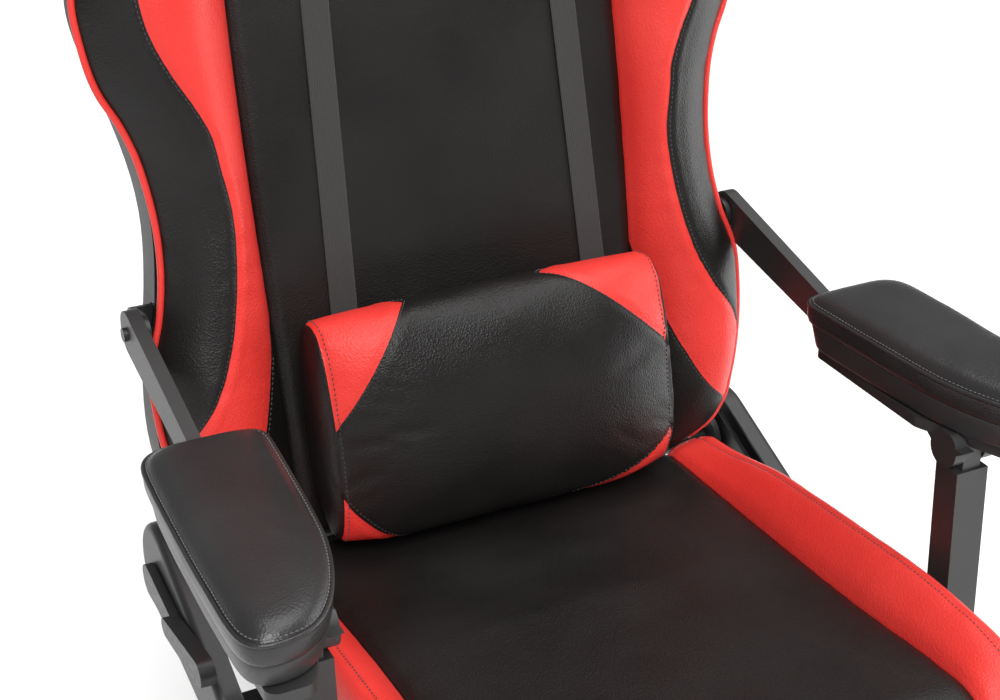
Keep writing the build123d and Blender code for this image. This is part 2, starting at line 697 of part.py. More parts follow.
def make_back_shell():
    """The rear cover, a shallow tray that closes the back, with the belt slots through it."""
    outer = back_blank(2, -SHELL_REAR, -PANEL_THICK - SKIN_GAP)
    inner = back_blank(2 + SHELL_WALL, -SHELL_REAR + SHELL_WALL, -PANEL_THICK)
    inner &= block(-FAR, FAR, -FAR, FAR, BACK_BOTTOM + SHELL_WALL, BACK_TOP - SHELL_WALL)
    shell = outer - inner
    for side in (-1, 1):
        x = side * BACK_TUBE_X
        shell -= block(x - 15, x + 15, PANEL_THICK, SHELL_REAR - SHELL_WALL, 0, BACK_BOTTOM + SHELL_WALL + 2)
        wall_x = side * (HIP_HALF - 20)
        shell -= block(wall_x - 30, wall_x + 30, LUG_DEPTH - 6, LUG_DEPTH + 2, ARM_PIVOT_V - 15, ARM_PIVOT_V + 15)
    return BACK * (shell - slot_cutter(SLOT_TRIM_WALL))


def make_slot_trims():
    """A plastic sleeve with a front flange in each belt slot."""
    rim = SLOT_TRIM_WALL + SLOT_TRIM_FLANGE
    sleeve = slot_cutter(SLOT_TRIM_WALL) & block(-FAR, FAR, 0, SHELL_REAR, 0, FAR)
    flange = slot_cutter(rim) & block(-FAR, FAR, -3, 0, 0, FAR)
    rear = slot_cutter(rim) & block(-FAR, FAR, SHELL_REAR, SHELL_REAR + 3, 0, FAR)
    return BACK * (sleeve + flange + rear - slot_cutter(0))


def make_back_frame():
    """The round-tube frame inside the back, drawn in between the belt slots near the top."""
    radius = BACK_TUBE_R
    low = RECLINE_V + radius + 0.5
    neck_low = SLOT_LEVEL - SLOT_HEIGHT / 2 - 30
    right = [(BACK_TUBE_X, low), (BACK_TUBE_X, BACK_TUBE_BEND), (BACK_TUBE_NECK_X, neck_low),
             (BACK_TUBE_NECK_X, BACK_TUBE_TOP)]
    points = right + [(-x, v) for x, v in reversed(right)]
    path = FilletPolyline(*[(x, 0, v) for x, v in points], radius=BACK_TUBE_BEND_R)
    frame = sweep(Plane(origin=path @ 0, z_dir=path % 0) * Circle(radius), path=path)
    return BACK * Pos(0, -FRAME_W, 0) * frame


def make_recline_tube():
    """The cross tube on the recline axis, with a hub and a pin at each end."""
    hub_x = SIDE_PLATE_X - PLATE_GAP - 6
    beam = rod_x(-hub_x, hub_x, RECLINE_Y, RECLINE_Z, BACK_TUBE_R)
    for side in (-1, 1):
        beam += rod_x(side * hub_x, side * (hub_x + 6), RECLINE_Y, RECLINE_Z, RECLINE_HUB_R)
        end = SIDE_PLATE_X + SIDE_PLATE_THICK
        beam += rod_x(side * hub_x, side * end, RECLINE_Y, RECLINE_Z, RECLINE_PIN_R)
        saddle = block(side * BACK_TUBE_X - 14, side * BACK_TUBE_X + 14, -FRAME_W - 14, -FRAME_W + 14,
                       RECLINE_V, RECLINE_V + BACK_TUBE_R + 0.5)
        beam += BACK * saddle
    return beam


def make_arm_lugs():
    """Steel lugs through the sides of the back that carry the rear pins of the armrests."""
    inner = BACK_TUBE_X + BACK_TUBE_R + SKIN_GAP
    strap = BACK * block(inner, ARM_BAR_X - 6, LUG_DEPTH - 5, LUG_DEPTH + 1, ARM_PIVOT_V - 14, ARM_PIVOT_V + 14)
    rear = back_yz(ARM_PIVOT_V, -LUG_DEPTH)
    ear = link_plate((ARM_Y, ARM_Z), rear, 14, 14, ARM_BAR_X - 6, ARM_BAR_X - SIDE_GAP)
    pin = rod_x(ARM_BAR_X - 6, ARM_BAR_X + ARM_BAR_WIDTH + 4, ARM_Y, ARM_Z, ARM_PIN_R)
    return both_sides(strap + ear + pin)


def strap_x(side, level):
    """Centre line of a strap at a level on the back; the pair leans in towards the slots."""
    share = (level - BACK_BOTTOM) / (SLOT_LEVEL - BACK_BOTTOM)
    return STRAP_SHIFT + side * (STRAP_HALF_LOW + share * (STRAP_HALF_HIGH - STRAP_HALF_LOW))


def strap_run(side, w0, w1, v0, v1):
    """A stretch of strap as a leaning slab between two levels and two planes."""
    half = STRAP_WIDTH / 2
    x0, x1 = strap_x(side, v0), strap_x(side, v1)
    points = [(x0 - half, v0), (x0 + half, v0), (x1 + half, v1), (x1 - half, v1)]
    face = Plane.XZ * make_face(Polyline(*points, close=True))
    return Pos(0, -w0, 0) * extrude(face, amount=w1 - w0)


def make_lumbar_straps():
    """Two closed loops of webbing: down the front, round the bottom and up the rear."""
    front = SKIN_GAP
    rear = -SHELL_REAR - SKIN_GAP
    top = SLOT_LEVEL - SLOT_HEIGHT / 2 + SKIN_GAP
    bottom = BACK_BOTTOM - SKIN_GAP - 6
    thick = STRAP_THICK
    trim = 3.0
    loops = []
    for side in (-1, 1):
        loop = strap_run(side, front, front + thick, bottom, top - 14)
        loop += strap_run(side, front + trim, front + trim + thick, top - 16, top + thick)
        loop += strap_run(side, front, front + trim + thick, top - 16, top - 14)
        loop += strap_run(side, rear - trim - thick, front + trim + thick, top, top + thick)
        loop += strap_run(side, rear - trim - thick, rear - trim, top - 16, top + thick)
        loop += strap_run(side, rear - trim - thick, rear, top - 16, top - 14)
        loop += strap_run(side, rear - thick, rear, bottom, top - 14)
        loop += strap_run(side, rear - thick, front + thick, bottom, bottom + thick)
        loops += (BACK * loop).solids()
    return Compound(loops)


def make_pillow(width, height, depth, bottom, shift, rounding):
    """A cushion lying on the front of the back."""
    gap = SKIN_GAP + STRAP_THICK + 3.0 + STRAP_THICK
    pillow = rounded_block(width, depth, height, rounding)
    return BACK * Pos(shift, -gap - depth / 2, bottom) * pillow


# ---- Armrests --------------------------------------------------------------------------

def make_post():
    """The front post of an armrest, forked into a tongue at the top."""
    x0, x1 = POST_X - POST_WIDTH / 2, POST_X + POST_WIDTH / 2
    low = (POST_LOW_Y, POST_LOW_Z)
    high = (POST_TOP_Y, POST_TOP_Z)
    reach = math.dist(low, high)
    share = (reach - CHEEK_R - 4) / reach
    neck = (low[0] + share * (high[0] - low[0]), low[1] + share * (high[1] - low[1]))
    below = block(-FAR, FAR, -FAR, FAR, 0, neck[1])
    post = link_plate(low, high, POST_DEPTH / 2, POST_DEPTH / 2, x0, x1) & below
    tongue = link_plate(neck, high, 11, 13, POST_X - TONGUE_WIDTH / 2, POST_X + TONGUE_WIDTH / 2)
    post += tongue
    post -= rod_x(x0, x1, low[0], low[1], ARM_PIN_R + RUNNING)
    return post - rod_x(x0, x1, high[0], high[1], ARM_PIN_R + SKIN_GAP)


def pad_outline():
    """Outline of the left armrest pad from above; its inner side tapers to a narrower nose."""
    inner, outer = PAD_X - PAD_WIDTH / 2, PAD_X + PAD_WIDTH / 2
    points = [(inner, PAD_REAR_Y), (inner, PAD_TAPER_Y), (outer - PAD_NOSE_WIDTH, PAD_FRONT_Y),
              (outer, PAD_FRONT_Y), (outer, PAD_REAR_Y)]
    face = make_face(Polyline(*points, close=True))
    return fillet(face.vertices(), PAD_CORNER)


def make_arm_frame():
    """The arm: a tray under the pad, two knuckle cheeks with their pin, and the bar to the back."""
    tray_top = PAD_BOTTOM_Z - SKIN_GAP
    tray_low = tray_top - ARM_TRAY_THICK
    tray = Pos(0, 0, tray_low) * extrude(offset(pad_outline(), amount=-ARM_TRAY_INSET), amount=ARM_TRAY_THICK)
    slit = TONGUE_WIDTH / 2 + 0.5
    cheek = link_plate((POST_TOP_Y, POST_TOP_Z), (POST_TOP_Y, tray_top - CHEEK_R), CHEEK_R, CHEEK_R,
                       POST_X + slit, POST_X + slit + CHEEK_WIDTH)
    cheek += side_plate([(POST_TOP_Y - CHEEK_R, POST_TOP_Z), (POST_TOP_Y + CHEEK_R, POST_TOP_Z),
                         (POST_TOP_Y + CHEEK_R + 8, tray_low + 1), (POST_TOP_Y - CHEEK_R - 8, tray_low + 1)],
                        POST_X + slit, POST_X + slit + CHEEK_WIDTH)
    other = Pos(-2 * slit - CHEEK_WIDTH, 0, 0) * cheek
    bar = link_plate((ARM_Y, ARM_Z), (PAD_REAR_Y - 60, tray_low + 2), 20, 13, ARM_BAR_X,
                     ARM_BAR_X + ARM_BAR_WIDTH)
    arm = tray + cheek + other + bar
    arm -= block(-FAR, FAR, PAD_FRONT_Y, PAD_REAR_Y + 4, tray_top, FAR)
    room = link_plate((POST_TOP_Y, POST_TOP_Z), (POST_TOP_Y, POST_TOP_Z - 40), 15, 15, POST_X - slit,
                      POST_X + slit)
    arm -= room
    arm += rod_x(POST_X - slit - CHEEK_WIDTH, POST_X + slit + CHEEK_WIDTH, POST_TOP_Y, POST_TOP_Z, ARM_PIN_R)
    return arm - rod_x(ARM_BAR_X, ARM_BAR_X + ARM_BAR_WIDTH, ARM_Y, ARM_Z, ARM_PIN_R + RUNNING)


def make_arm_pad():
    """The padded top of an armrest."""
    pad = extrude(pad_outline(), amount=PAD_TOP_Z - PAD_BOTTOM_Z)
    pad = fillet(pad.faces().sort_by(Axis.Z)[-1].edges(), PAD_EDGE_R)
    return Pos(0, 0, PAD_BOTTOM_Z) * pad


# ---- All nodes -------------------------------------------------------------------------

def make_nodes():
    """Every piece of the chair by its node name."""
    cover_low = HUB_TOP
    cover_mid = cover_low + 43
    cover_high = HOUSING_Z0 - SIDE_GAP - COVER_LENGTH
    nodes = {
        "star_base": make_star_base(),
        "caster_stems": make_caster_stems(),
        "column_tube": make_column_tube(),
        "guide_bush": make_guide_bush(),
        "thrust_bearing": make_thrust_bearing(),
        "piston_rod": make_piston_rod(),
        "rod_clip": make_rod_clip(),
        "inner_cylinder": make_inner_cylinder(),
        "release_button": make_release_button(),
        "cover_lower": make_cover(2, cover_low),
        "cover_middle": make_cover(1, cover_mid),
        "cover_upper": make_cover(0, cover_high),
        "mechanism_housing": make_mechanism_housing(),
        "tilt_pin": make_tilt_pin(),
        "tension_spring": make_tension_spring(),
        "tension_knob": make_tension_knob(),
        "lift_lever": make_lift_lever(),
        "tilt_lever": make_tilt_lever(),
        "seat_plate": make_seat_plate(),
        "seat_bolts": make_seat_bolts(),
        "seat_pan": make_seat_pan(),
        "seat_cushion": make_seat_cushion(),
        "post_brackets": make_post_brackets(),
        "recliner_plates": make_recliner_plates(),
        "side_covers": make_side_covers(),
        "recline_lever": make_recline_lever(),
        "back_frame": make_back_frame(),
        "recline_tube": make_recline_tube(),
        "back_cushion": make_back_cushion(),
        "back_shell": make_back_shell(),
        "slot_trims": make_slot_trims(),
        "arm_lugs": make_arm_lugs(),
        "lumbar_straps": make_lumbar_straps(),
        "lumbar_pillow": make_pillow(LUMBAR_WIDTH, LUMBAR_HEIGHT, LUMBAR_DEPTH, LUMBAR_BOTTOM, LUMBAR_SHIFT,
                                     LUMBAR_ROUND),
        "head_pillow": make_pillow(HEAD_PILLOW_WIDTH, HEAD_PILLOW_HEIGHT, HEAD_PILLOW_DEPTH,
                                   HEAD_PILLOW_BOTTOM, 0, HEAD_PILLOW_ROUND),
    }
    for side, name in ((1, "left"), (-1, "right")):
        nodes["back_bolster_" + name] = make_bolster(side)
        for piece, shape in (("seat_wing_", make_seat_wing()), ("arm_post_", make_post()),
                             ("arm_frame_", make_arm_frame()), ("arm_pad_", make_arm_pad())):
            nodes[piece + name] = shape if side > 0 else mirror(shape, about=Plane.YZ)
    housing = make_caster_housing()
    for index in range(LEG_COUNT):
        number = str(index + 1)
        place = caster_place(index)
        nodes["caster_housing_" + number] = place * housing
        nodes["caster_wheel_" + number + "a"] = place * make_wheel(1)
        nodes["caster_wheel_" + number + "b"] = place * make_wheel(-1)
    return nodes


if __name__ == "__main__":
    os.makedirs("parts", exist_ok=True)
    for name, shape in make_nodes().items():
        export_step(shape, "parts/" + name + ".step")
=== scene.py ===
import math
import bmesh
import bpy
import numpy as np
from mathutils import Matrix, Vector, noise


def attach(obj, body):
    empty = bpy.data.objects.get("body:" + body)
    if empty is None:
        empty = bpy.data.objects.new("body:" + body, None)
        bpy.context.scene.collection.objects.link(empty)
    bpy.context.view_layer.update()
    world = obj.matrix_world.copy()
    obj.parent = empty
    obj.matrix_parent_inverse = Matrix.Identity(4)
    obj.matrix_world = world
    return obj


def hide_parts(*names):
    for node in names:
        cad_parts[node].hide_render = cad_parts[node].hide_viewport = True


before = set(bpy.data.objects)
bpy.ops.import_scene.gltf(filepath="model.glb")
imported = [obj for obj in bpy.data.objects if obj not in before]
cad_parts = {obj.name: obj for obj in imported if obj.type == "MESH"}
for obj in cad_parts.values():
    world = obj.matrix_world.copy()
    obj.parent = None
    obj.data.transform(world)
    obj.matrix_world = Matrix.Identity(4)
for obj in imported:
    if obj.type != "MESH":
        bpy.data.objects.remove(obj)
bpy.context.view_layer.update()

# Racing-style chair. Modelling is in millimetres in the frame of the back (x, v up, w forward)
# or of the seat (x, y rearward, z up); place_back and place_seat turn both into metres.

MM = 0.001
JOIN_Y = 235.0                  # where the seat meets the back
JOIN_Z = 455.0
LEAN = math.radians(12.84)      # the back's lean from upright
TILT = math.radians(3.6)        # the seat's slope down to its rear
PANEL_FOOT = 4.0                # the back's lowest and highest seam, measured up the back
PANEL_TOP = 826.0
REAR_COVER_W = -34.5            # the front of the rear cover
SLOT_CENTRE_X = 116.0           # belt slots: place, half width and half height
SLOT_CENTRE_V = 645.0
SLOT_HALF_X = 47.0
SLOT_HALF_V = 27.0
SEAT_SIDE_X = 248.0             # the seat's outer side
SEAT_PAN_X = 241.5              # the plywood pan inside the seat's cover: side, top and front
SEAT_PAN_Z = -83.0
SEAT_PAN_Y = -483.5
SEAT_COVER_Z = -95.0            # the lower edge of the seat's cover
PAD_MIDDLE = np.array([306.0, -28.0])
NO_TINT = -50.0                 # a tint well inside the first colour


def place_back(points):
    """World places in metres of points in the back's frame."""
    p = np.asarray(points, float)
    x, v, w = p[..., 0], p[..., 1], p[..., 2]
    y = JOIN_Y + v * math.sin(LEAN) - w * math.cos(LEAN)
    z = JOIN_Z + v * math.cos(LEAN) + w * math.sin(LEAN)
    return np.stack([x, y, z], -1) * MM


def place_seat(points):
    """World places in metres of points in the seat's frame."""
    p = np.asarray(points, float)
    x, y, z = p[..., 0], p[..., 1], p[..., 2]
    return np.stack([x, JOIN_Y + y * math.cos(TILT) + z * math.sin(TILT),
                     JOIN_Z - y * math.sin(TILT) + z * math.cos(TILT)], -1) * MM


def place_world(points):
    """World places in metres of points in millimetres."""
    return np.asarray(points, float) * MM


def track(*stops):
    """A smooth function through (place, value) stops."""
    keys = np.array([s[0] for s in stops], float)
    values = np.array([s[1] for s in stops], float)
    slopes = np.gradient(values, keys)

    def at(place):
        p = np.clip(place, keys[0], keys[-1])
        i = np.clip(np.searchsorted(keys, p) - 1, 0, len(keys) - 2)
        h = keys[i + 1] - keys[i]
        t = (p - keys[i]) / h
        t2, t3 = t * t, t * t * t
        return ((2 * t3 - 3 * t2 + 1) * values[i] + (t3 - 2 * t2 + t) * h * slopes[i]
                + (3 * t2 - 2 * t3) * values[i + 1] + (t3 - t2) * h * slopes[i + 1])
    return at


def bump(distance, width):
    """1 at distance 0, falling smoothly to 0 over about twice the width."""
    return np.exp(-(np.asarray(distance, float) / width) ** 2)


def ripple(points, scale, seed=0.0):
    """Smooth noise from -1 to 1 at each point, with features of about scale millimetres."""
    flat = np.asarray(points, float).reshape(-1, 3)
    out = np.array([noise.noise(Vector((p[0] / scale + seed, p[1] / scale, p[2] / scale))) for p in flat])
    return out.reshape(np.asarray(points).shape[:-1])


# ---- Materials

def new_material(name):
    """A node material: itself, its nodes, its links, its shader and its object coordinates."""
    m = bpy.data.materials.new(name)
    m.use_nodes = True
    nodes, links = m.node_tree.nodes, m.node_tree.links
    shader = nodes["Principled BSDF"]
    coords = nodes.new("ShaderNodeTexCoord").outputs["Object"]
    return m, nodes, links, shader, coords


def noise_node(nodes, links, coords, scale, detail=2.0, rough=0.5):
    """Noise from 0 to 1, mostly between 0.3 and 0.7."""
    n = nodes.new("ShaderNodeTexNoise")
    n.inputs["Scale"].default_value = scale
    n.inputs["Detail"].default_value = detail
    n.inputs["Roughness"].default_value = rough
    links.new(coords, n.inputs["Vector"])
    return n.outputs["Fac"]


def remap(nodes, links, value, low, high):
    """Spreads noise over the range from low to high."""
    r = nodes.new("ShaderNodeMapRange")
    r.inputs["From Min"].default_value = 0.3
    r.inputs["From Max"].default_value = 0.7
    r.inputs["To Min"].default_value = low
    r.inputs["To Max"].default_value = high
    links.new(value, r.inputs["Value"])
    return r.outputs["Result"]


def blend_colours(nodes, links, factor, first, second):
    """A mix of two colours, each a tuple or a socket."""
    mix = nodes.new("ShaderNodeMix")
    mix.data_type = "RGBA"
    links.new(factor, mix.inputs["Factor"])
    for socket, colour in ((mix.inputs["A"], first), (mix.inputs["B"], second)):
        if isinstance(colour, tuple):
            socket.default_value = (*colour, 1)
        else:
            links.new(colour, socket)
    return mix.outputs["Result"]


def add_bump(nodes, links, shader, heights):
    """Chains bump nodes: heights are (value, distance in metres)."""
    last = None
    for value, distance in heights:
        b = nodes.new("ShaderNodeBump")
        b.inputs["Strength"].default_value = 1.0
        b.inputs["Distance"].default_value = distance
        links.new(value, b.inputs["Height"])
        if last is not None:
            links.new(last, b.inputs["Normal"])
        last = b.outputs["Normal"]
    links.new(last, shader.inputs["Normal"])


def leather(name, colour, worn, roughness, second=None, second_worn=None, gloss=0.3, grain=0.00011):
    """Leatherette with pebble grain, soft creases and slight colour change.

    Where there is a second colour, it shows where the attribute named tint is above 0."""
    m, nodes, links, shader, coords = new_material(name)
    cells = nodes.new("ShaderNodeTexVoronoi")
    cells.feature = "SMOOTH_F1"
    cells.inputs["Scale"].default_value = 620
    cells.inputs["Smoothness"].default_value = 0.6
    links.new(coords, cells.inputs["Vector"])
    fine = noise_node(nodes, links, coords, 900, 3)
    creases = noise_node(nodes, links, coords, 22, 2, 0.4)
    patches = noise_node(nodes, links, coords, 9, 3)
    shade = remap(nodes, links, patches, 0.0, 1.0)
    tone = blend_colours(nodes, links, shade, colour, worn)
    if second:
        tint = nodes.new("ShaderNodeAttribute")
        tint.attribute_name = "tint"
        step = nodes.new("ShaderNodeMapRange")
        step.inputs["From Min"].default_value = -0.15
        step.inputs["From Max"].default_value = 0.15
        links.new(tint.outputs["Fac"], step.inputs["Value"])
        other = blend_colours(nodes, links, shade, second, second_worn)
        tone = blend_colours(nodes, links, step.outputs["Result"], tone, other)
    links.new(tone, shader.inputs["Base Color"])
    links.new(remap(nodes, links, patches, roughness - 0.05, roughness + 0.07), shader.inputs["Roughness"])
    shader.inputs["Specular IOR Level"].default_value = gloss
    add_bump(nodes, links, shader,
             [(creases, 0.0007), (cells.outputs["Distance"], grain * 3), (fine, grain)])
    return m


def plastic(name, colour, worn, roughness, grain=0.00008):
    """Moulded plastic with a fine spark-eroded texture."""
    m, nodes, links, shader, coords = new_material(name)
    fine = noise_node(nodes, links, coords, 700, 4, 0.6)
    patches = noise_node(nodes, links, coords, 14, 3)
    links.new(blend_colours(nodes, links, remap(nodes, links, patches, 0, 1), colour, worn),
              shader.inputs["Base Color"])
    links.new(remap(nodes, links, fine, roughness - 0.06, roughness + 0.08), shader.inputs["Roughness"])
    add_bump(nodes, links, shader, [(fine, grain)])
    return m


def metal(name, colour, worn, roughness, metallic, stretch=(1, 1, 1)):
    """Metal or paint with brushed or sprayed unevenness."""
    m, nodes, links, shader, coords = new_material(name)
    mapping = nodes.new("ShaderNodeMapping")
    mapping.inputs["Scale"].default_value = stretch
    links.new(coords, mapping.inputs["Vector"])
    streaks = noise_node(nodes, links, mapping.outputs["Vector"], 160, 4, 0.6)
    links.new(blend_colours(nodes, links, remap(nodes, links, streaks, 0, 1), colour, worn),
              shader.inputs["Base Color"])
    shader.inputs["Metallic"].default_value = metallic
    links.new(remap(nodes, links, streaks, roughness - 0.05, roughness + 0.08), shader.inputs["Roughness"])
    add_bump(nodes, links, shader, [(streaks, 0.00003)])
    return m


def wood(name):
    """Plywood: grain on the faces and plies at the edges."""
    m, nodes, links, shader, coords = new_material(name)
    mapping = nodes.new("ShaderNodeMapping")
    mapping.inputs["Scale"].default_value = (60, 6, 400)
    links.new(coords, mapping.inputs["Vector"])
    grain = noise_node(nodes, links, mapping.outputs["Vector"], 1, 5, 0.6)
    shade = remap(nodes, links, grain, 0, 1)
    links.new(blend_colours(nodes, links, shade, (0.42, 0.28, 0.15), (0.62, 0.46, 0.28)),
              shader.inputs["Base Color"])
    shader.inputs["Roughness"].default_value = 0.7
    add_bump(nodes, links, shader, [(grain, 0.0002)])
    return m


def cloth_material(name, colour, worn):
    """Woven thread for webbing and stitches."""
    m, nodes, links, shader, coords = new_material(name)
    threads = noise_node(nodes, links, coords, 1500, 3, 0.7)
    links.new(blend_colours(nodes, links, remap(nodes, links, threads, 0, 1), colour, worn),
              shader.inputs["Base Color"])
    shader.inputs["Roughness"].default_value = 0.8
    shader.inputs["Sheen Weight"].default_value = 0.25
    add_bump(nodes, links, shader, [(threads, 0.0002)])
    return m


BLACK = (0.006, 0.005, 0.0046)
BLACK_WORN = (0.010, 0.0088, 0.0082)
RED = (0.70, 0.034, 0.027)
RED_WORN = (0.76, 0.045, 0.036)

two_tone = leather("leatherette_two_tone", BLACK, BLACK_WORN, 0.40, RED, RED_WORN)
black_leather = leather("leatherette_black", BLACK, BLACK_WORN, 0.42)
seat_leather = leather("leatherette_seat", BLACK, BLACK_WORN, 0.45)
pad_leather = leather("leatherette_armpad", (0.02, 0.019, 0.019), (0.027, 0.026, 0.026), 0.36, gloss=0.5,
                      grain=0.00007)
red_leather = leather("leatherette_red", RED, RED_WORN, 0.4)
thread_black = cloth_material("thread_black", (0.012, 0.012, 0.012), (0.03, 0.03, 0.03))
thread_grey = cloth_material("thread_grey", (0.09, 0.09, 0.088), (0.14, 0.14, 0.135))
webbing = cloth_material("webbing_grey", (0.021, 0.020, 0.0195), (0.032, 0.031, 0.030))

slot_materials = {
    "nylon_black": plastic("nylon_black_mat", (0.018, 0.018, 0.019), (0.026, 0.026, 0.027), 0.42),
    "arm_plastic": plastic("arm_plastic_mat", (0.028, 0.027, 0.027), (0.036, 0.035, 0.035), 0.42),
    "wheel_nylon": plastic("wheel_nylon_mat", (0.014, 0.014, 0.015), (0.022, 0.022, 0.023), 0.33, 0.00003),
    "painted_steel": metal("painted_steel_mat", (0.014, 0.014, 0.015), (0.02, 0.02, 0.021), 0.38, 0.0),
    "bright_steel": metal("bright_steel_mat", (0.5, 0.5, 0.51), (0.62, 0.62, 0.63), 0.32, 1.0, (1, 1, 9)),
    "chromed_steel": metal("chromed_steel_mat", (0.7, 0.7, 0.71), (0.76, 0.76, 0.77), 0.12, 1.0, (1, 1, 6)),
    "plywood": wood("plywood_mat"),
    "black_leatherette": black_leather,
    "red_leatherette": red_leather,
    "webbing": webbing,
}

# ---- Mesh tools

def make_object(name, points, faces, materials, attributes=None):
    """A smooth mesh object from points in metres, with a value for each point in each attribute."""
    mesh = bpy.data.meshes.new(name)
    mesh.from_pydata([tuple(p) for p in points], [], [tuple(f) for f in faces])
    mesh.validate()
    for m in materials:
        mesh.materials.append(m)
    mesh.polygons.foreach_set("use_smooth", [True] * len(mesh.polygons))
    for key, values in (attributes or {}).items():
        layer = mesh.attributes.new(key, "FLOAT", "POINT")
        layer.data.foreach_set("value", np.asarray(values, np.float32).ravel())
    obj = bpy.data.objects.new(name, mesh)
    bpy.context.scene.collection.objects.link(obj)
    return obj


def grid_faces(rows, cols, wrap=False, keep=None, start=0, flip=False):
    """Quads of a rows by cols grid whose first point is number start.

    wrap joins the last column to the first, keep says which quads to make and flip turns them over."""
    faces = []
    for r in range(rows - 1):
        near = start + r * cols
        far = near + cols
        for c in range(cols if wrap else cols - 1):
            if keep is not None and not keep[r, c]:
                continue
            d = (c + 1) % cols
            quad = (near + c, near + d, far + d, far + c)
            faces.append(quad[::-1] if flip else quad)
    return faces


def end_caps(rows, cols, start=0):
    """The two faces that close the first and the last row of a wrapped grid."""
    last = start + (rows - 1) * cols
    return [tuple(range(start, start + cols))[::-1], tuple(range(last, last + cols))]


def outward(obj):
    """Makes the faces of a closed mesh point outwards."""
    work = bmesh.new()
    work.from_mesh(obj.data)
    bmesh.ops.remove_doubles(work, verts=work.verts, dist=1e-6)
    bmesh.ops.recalc_face_normals(work, faces=work.faces)
    work.to_mesh(obj.data)
    work.free()
    return obj


def normals_of(grid, wrap=False):
    """Unit normals of a grid of points, pointing away from the grid's middle."""
    if wrap:
        across = np.roll(grid, -1, 1) - np.roll(grid, 1, 1)
    else:
        across = np.gradient(grid, axis=1)
    along = np.gradient(grid, axis=0)
    n = np.cross(across, along)
    n /= np.linalg.norm(n, axis=-1, keepdims=True) + 1e-12
    middle = grid.reshape(-1, 3).mean(0)
    if ((grid - middle) * n).sum() < 0:
        n = -n
    return n


def sample(grid, row, col, wrap=False):
    """The value of a grid at a fractional row and column."""
    rows, cols = grid.shape[:2]
    row = min(max(row, 0), rows - 1.001)
    col = col % cols if wrap else min(max(col, 0), cols - 1.001)
    r, c = int(row), int(col)
    row_share, col_share = row - r, col - c
    next_c = (c + 1) % cols if wrap else min(c + 1, cols - 1)
    next_r = min(r + 1, rows - 1)
    near = grid[r, c] * (1 - col_share) + grid[r, next_c] * col_share
    far = grid[next_r, c] * (1 - col_share) + grid[next_r, next_c] * col_share
    return near * (1 - row_share) + far * row_share


def resample(path, step):
    """Points along a path at even steps, with the directions there."""
    path = np.asarray(path, float)
    length = np.concatenate([[0], np.cumsum(np.linalg.norm(np.diff(path, axis=0), axis=1))])
    count = max(3, int(length[-1] / step))
    places = np.linspace(0, length[-1], count + 1)
    points = np.stack([np.interp(places, length, path[:, k]) for k in range(3)], 1)
    ahead = np.gradient(points, axis=0)
    ahead /= np.linalg.norm(ahead, axis=1, keepdims=True) + 1e-12
    return points, ahead


def tube(name, path, radius, material, step, closed=False):
    """A round cord along a path in millimetres in the world frame."""
    sides = 10
    points, ahead = resample(path, step)
    if closed:
        points, ahead = points[:-1], ahead[:-1]
        ahead[0] = ahead[-1] = (points[1] - points[-1]) / np.linalg.norm(points[1] - points[-1])
    rings = []
    side = np.cross(ahead[0], [0.31, 0.22, 0.92])
    turn = np.linspace(0, 2 * math.pi, sides, endpoint=False)[:, None]
    for p, d in zip(points, ahead):
        side = side - d * (side @ d)
        side /= np.linalg.norm(side)
        other = np.cross(d, side)
        rings.append(p + radius * (np.cos(turn) * side + np.sin(turn) * other))
    grid = np.array(rings)
    faces = grid_faces(len(grid), sides, wrap=True)
    if closed:
        last = (len(grid) - 1) * sides
        # the frame turns a little on the way round, so the seam joins each corner to its nearest
        shift = int(np.argmin(np.linalg.norm(grid[0] - grid[-1][0], axis=1)))
        for c in range(sides):
            a, b = last + c, last + (c + 1) % sides
            faces.append((a, b, (c + 1 + shift) % sides, (c + shift) % sides))
    else:
        faces += end_caps(len(grid), sides)
    return outward(make_object(name, grid.reshape(-1, 3) * MM, faces, [material]))


def at_run(place, run, values):
    """The value at a place along a path, from the values at the path's points."""
    return np.array([np.interp(place, run, values[:, i]) for i in range(3)])


def stitches(name, path, normals, material, pitch=4.4, length=3.0, radius=0.5):
    """A row of separate thread stitches along a path in millimetres, lying on a surface."""
    path, normals = np.asarray(path, float), np.asarray(normals, float)
    run = np.concatenate([[0], np.cumsum(np.linalg.norm(np.diff(path, axis=0), axis=1))])
    # each stitch has five rings of six points, and its ends dip under the surface
    rings, sides = 5, 6
    offsets = np.array([-0.5, -0.3, 0, 0.3, 0.5]) * length
    heights = 0.25 * np.array([-1.6, 0.7, 1.0, 0.7, -1.6])
    radii = np.array([0.45, 1, 1, 1, 0.45]) * radius
    verts, faces = [], []
    for k in range(int(run[-1] / pitch)):
        start = len(verts)
        for stop, height, r in zip((k + 0.5) * pitch + offsets, heights, radii):
            p = at_run(stop, run, path)
            n = at_run(stop, run, normals)
            n /= np.linalg.norm(n) + 1e-12
            ahead = at_run(stop + 0.5, run, path) - at_run(stop - 0.5, run, path)
            across = np.cross(n, ahead)
            across /= np.linalg.norm(across) + 1e-12
            for a in range(sides):
                t = a * math.pi / 3
                verts.append(p + n * height + r * (math.cos(t) * across + math.sin(t) * n))
        faces += grid_faces(rings, sides, wrap=True, start=start) + end_caps(rings, sides, start)
    return make_object(name, np.array(verts) * MM, faces, [material])


